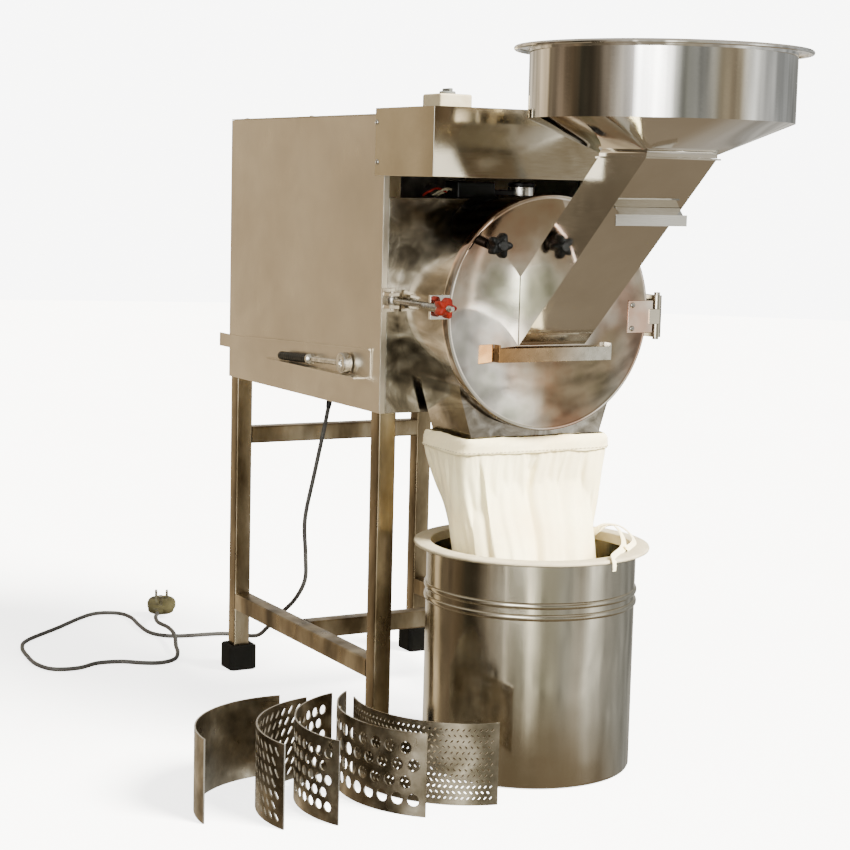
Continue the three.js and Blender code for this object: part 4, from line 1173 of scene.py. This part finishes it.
def bag_cloth(levels):
    rings = [bag_section(level) for level in levels]
    floor = sum(rings[-1], Vector()) / BAG_ROUND
    rings += [[point.lerp(floor, share) for point in rings[-1]] for share in (0.3, 0.6, 0.85)]
    points = [p for ring in rings for p in ring]
    faces = bands(len(rings), BAG_ROUND)
    faces.append(tuple(range(len(points) - BAG_ROUND, len(points))))
    bag = mesh_piece("bag_cloth", points, faces, smooth=180)
    held = [v.index for v in bag.data.vertices if v.co.z > (HEM_BOTTOM - 1) * MM]
    settle(bag, held, SETTLING_FRAMES, SETTLING_REACH * MM)
    smooth_sides(bag.data, 180)
    subdivide = bag.modifiers.new("subdivide", "SUBSURF")
    subdivide.levels = subdivide.render_levels = 1
    return finish_piece(bake(bag), "collecting_bag")


def bag_hem(levels):
    """Two layers turned over a drawstring, standing a little proud of the cloth."""
    points = []
    centre = at(1, -61, 414)
    for z, swell in HEM:
        level = nearest_level(levels, z)
        level[0] = z
        for j, point in enumerate(bag_section(level, swell)):
            c, s = math.cos(TAU * j / BAG_ROUND), math.sin(TAU * j / BAG_ROUND)
            ripple = noise.noise(Vector((j * 0.16, z * MM * 40, 3.0)))
            sag = noise.noise(Vector((c * 1.6, s * 1.6, 7.0)))
            pucker = noise.noise(Vector((j * 0.31, z * MM * 90, 11.0)))
            outward = (point - centre).normalized() * 1.3 * MM * pucker
            outward.z = (1.0 * ripple + 3.0 * sag) * MM
            points.append(point + outward)
    band = mesh_piece("bag_hem", points, bands(len(HEM), BAG_ROUND), smooth=180)
    return finish_piece(band, slot="cotton")


def bag_stitches(levels):
    row = bag_section(nearest_level(levels, HEM_BOTTOM + 2), 3.0)
    count = STITCH_SIDES
    stitch = bands(2, count) + [range(count), range(count, 2 * count)]
    points = []
    faces = []
    for i in range(0, BAG_ROUND, 2):
        first = len(points)
        ends = [Vector((p.x, p.y, STITCH_HEIGHT * MM)) for p in (row[i], row[(i + 1) % BAG_ROUND])]
        points += [p for ring in tube_rings(ends, 0.45 * MM, count) for p in ring]
        faces += [tuple(first + corner for corner in face) for face in stitch]
    seam = mesh_piece("bag_stitches", points, faces, smooth=60)
    return finish_piece(seam, slot="cotton", look="cream_plastic")


def add_bag():
    levels = catmull_rom([Vector(level) for level in BAG_LEVELS], BAG_STEPS)
    bag = bag_cloth(levels)
    pieces = [bag_hem(levels), bag_stitches(levels)]
    for name, route, width in (("bag_tie", TIE_ROUTE, 9), ("bag_tie_end", TIE_END, 8)):
        pieces.append(finish_piece(ribbon(name, route, width), slot="cotton"))


def ribbon(name, route, width):
    """A flat tape along a route in millimetres."""
    path = catmull_rom([at(*p) for p in route], 6)
    rings = []
    for i, point in enumerate(path):
        ahead = ahead_at(path, i)
        across = ahead.cross(TAPE_FACING).normalized() * width / 2 * MM
        thick = ahead.cross(across).normalized() * 0.45 * MM
        curl = across * (1 + 0.08 * noise.noise(point * 90))
        rings.append([point - curl - thick, point + curl - thick, point + curl + thick, point - curl + thick])
    return skin(name, rings, loops=False, smooth=60)


# ---- Stage ----
def add_floor():
    """A pale floor that also glows a little, so that it runs into the backdrop without a horizon."""
    bpy.ops.mesh.primitive_circle_add(vertices=96, radius=9, fill_type="NGON", location=(0, 0, -0.0005))
    floor = bpy.context.object
    floor.name = "floor"
    paint = Paint("floor")
    paint.tint(paint.noise(2, 4), [(0.3, 0.86), (0.7, 0.9)])
    paint.set("Roughness", 0.9)
    paint.set("Emission Color", (1, 1, 0.99))
    paint.set("Emission Strength", FLOOR_EMISSION)
    floor.data.materials.append(paint.material)
    floor.visible_glossy = False
    floor.visible_diffuse = False


# The room as polished steel shows it: (degrees round from the camera, to the image's right, colour).
ROOM = [
    (-180, (0.80, 0.75, 0.66)), (-160, (0.80, 0.70, 0.55)), (-125, (0.90, 0.71, 0.46)),
    (-121, (0.60, 0.47, 0.30)), (-118, (0.16, 0.125, 0.08)), (-104, (0.20, 0.15, 0.10)),
    (-88, (0.17, 0.12, 0.07)), (-79, (0.04, 0.034, 0.022)), (-62, (0.06, 0.046, 0.03)),
    (-52, (0.24, 0.2, 0.15)), (-42, (0.62, 0.56, 0.47)), (-31, (1.1, 1.05, 0.98)),
    (-27, (9.0, 9.0, 8.8)), (-4, (7.5, 7.5, 7.2)), (4, (1.0, 1.0, 0.92)), (12, (0.20, 0.20, 0.17)),
    (26, (0.34, 0.34, 0.31)), (40, (0.55, 0.55, 0.5)), (56, (0.70, 0.66, 0.58)), (70, (1.6, 1.6, 1.5)),
    (90, (0.50, 0.50, 0.48)), (120, (0.45, 0.46, 0.45)), (150, (0.30, 0.30, 0.28)),
    (180, (0.80, 0.75, 0.66)),
]
# What is darker above eye level, by the same angle: (degrees, share of the colour above).
ABOVE = [
    (-180, UNIFORM), (28, UNIFORM), (44, (0.42, 0.36, 0.27)), (63, (0.42, 0.36, 0.27)),
    (76, UNIFORM),
]
# What differs well below eye level, by the same angle.
BELOW = [
    (-180, UNIFORM), (-48, UNIFORM), (-30, (0.4, 0.38, 0.34)), (-26, (0.055, 0.052, 0.044)),
    (-6, (0.07, 0.068, 0.06)), (2, (0.9, 0.87, 0.78)), (10, (2.2, 2.15, 2.0)), (24, (1.5, 1.45, 1.3)),
    (34, UNIFORM),
]
FLOOR_GLOW = (0.28, 0.22, 0.145)
CEILING_GLOW = (0.62, 0.57, 0.48)
FLOOR_EMISSION = 3.4
BACKDROP = (8.0, 8.0, 7.9)


def add_world():
    world = bpy.data.worlds.new("room")
    bpy.context.scene.world = world
    world.use_nodes = True
    tree = world.node_tree
    tree.nodes.clear()

    def node(kind, inputs, **settings):
        return make(tree, kind, inputs, **settings)

    def maths(operation, first, second):
        return node("ShaderNodeMath", {0: first, 1: second}, operation=operation)[0]

    def eased(value, low, high):
        inputs = {"Value": value, "From Min": low, "From Max": high}
        return node("ShaderNodeMapRange", inputs, interpolation_type="SMOOTHSTEP")["Result"]

    def blended(factor, first, second):
        return mixed(tree, factor, first, second)

    direction = node("ShaderNodeTexCoord", {})["Generated"]
    x, y, z = node("ShaderNodeSeparateXYZ", {0: direction})

    # Angle from the camera's direction, counted to the image's right, as 0 to 1 for -180 to 180 degrees.
    ca, sa = math.cos(CAMERA_AZIMUTH), math.sin(CAMERA_AZIMUTH)
    forward = maths("SUBTRACT", maths("MULTIPLY", x, sa), maths("MULTIPLY", y, ca))
    rightward = maths("ADD", maths("MULTIPLY", x, ca), maths("MULTIPLY", y, sa))
    turn = maths("ADD", maths("DIVIDE", maths("ARCTAN2", rightward, forward), TAU), 0.5)

    def panorama(stops):
        return ramped(tree, turn, [((degrees + 180) / 360, colour) for degrees, colour in stops])

    stretched = node("ShaderNodeMapping", {"Vector": direction, "Scale": (1, 1, 2.6)})["Vector"]
    clouds = node("ShaderNodeTexNoise", {"Vector": stretched, "Scale": 5.5, "Detail": 3})["Fac"]
    limits = {"From Min": 0.36, "From Max": 0.66, "To Min": 0.62, "To Max": 1.5}
    level = node("ShaderNodeMapRange", {"Value": clouds, **limits})["Result"]
    low = blended(eased(z, -0.11, -0.045), panorama(BELOW), UNIFORM)
    shade = blended(eased(z, -0.035, 0.005), low, panorama(ABOVE))
    shaded = node("ShaderNodeVectorMath", {0: panorama(ROOM), 1: shade}, operation="MULTIPLY")["Vector"]
    uneven = node("ShaderNodeVectorMath", {"Vector": shaded, "Scale": level}, operation="SCALE")["Vector"]
    room = blended(eased(z, -0.6, -0.36), FLOOR_GLOW, uneven)
    room = blended(eased(z, 0.25, 0.6), room, CEILING_GLOW)
    seen = node("ShaderNodeLightPath", {})["Is Camera Ray"]
    background = node("ShaderNodeBackground", {"Color": blended(seen, room, BACKDROP)})[0]
    node("ShaderNodeOutputWorld", {"Surface": background})


def add_sun(name, azimuth, elevation, strength, spread, colour):
    """A broad soft lamp. Azimuth is counted from the camera's direction to the image's right."""
    data = bpy.data.lights.new(name, "SUN")
    data.energy = strength
    data.angle = math.radians(spread)
    data.color = colour
    sun = add_object(name, data)
    towards = heading(CAMERA_AZIMUTH + math.radians(azimuth), math.radians(elevation))
    sun.rotation_euler = towards.to_track_quat("Z", "Y").to_euler()
    sun.visible_glossy = False


add_camera()
add_cord()
add_stand()
add_drum()
add_door()
add_latch()
add_knobs()
add_hopper()
add_bin()
for sieve_node, sieve_values in SIEVES.items():
    add_sieve(sieve_node, *sieve_values)
add_spanner()
add_capacitor()
add_switch_knob()
add_screws()
add_bag()
dress_cad_nodes()
add_floor()
add_world()
add_sun("key", 60, 40, 31, 26, (1.0, 0.965, 0.87))
add_sun("fill", -40, 35, 1.6, 60, (1.0, 0.9, 0.76))
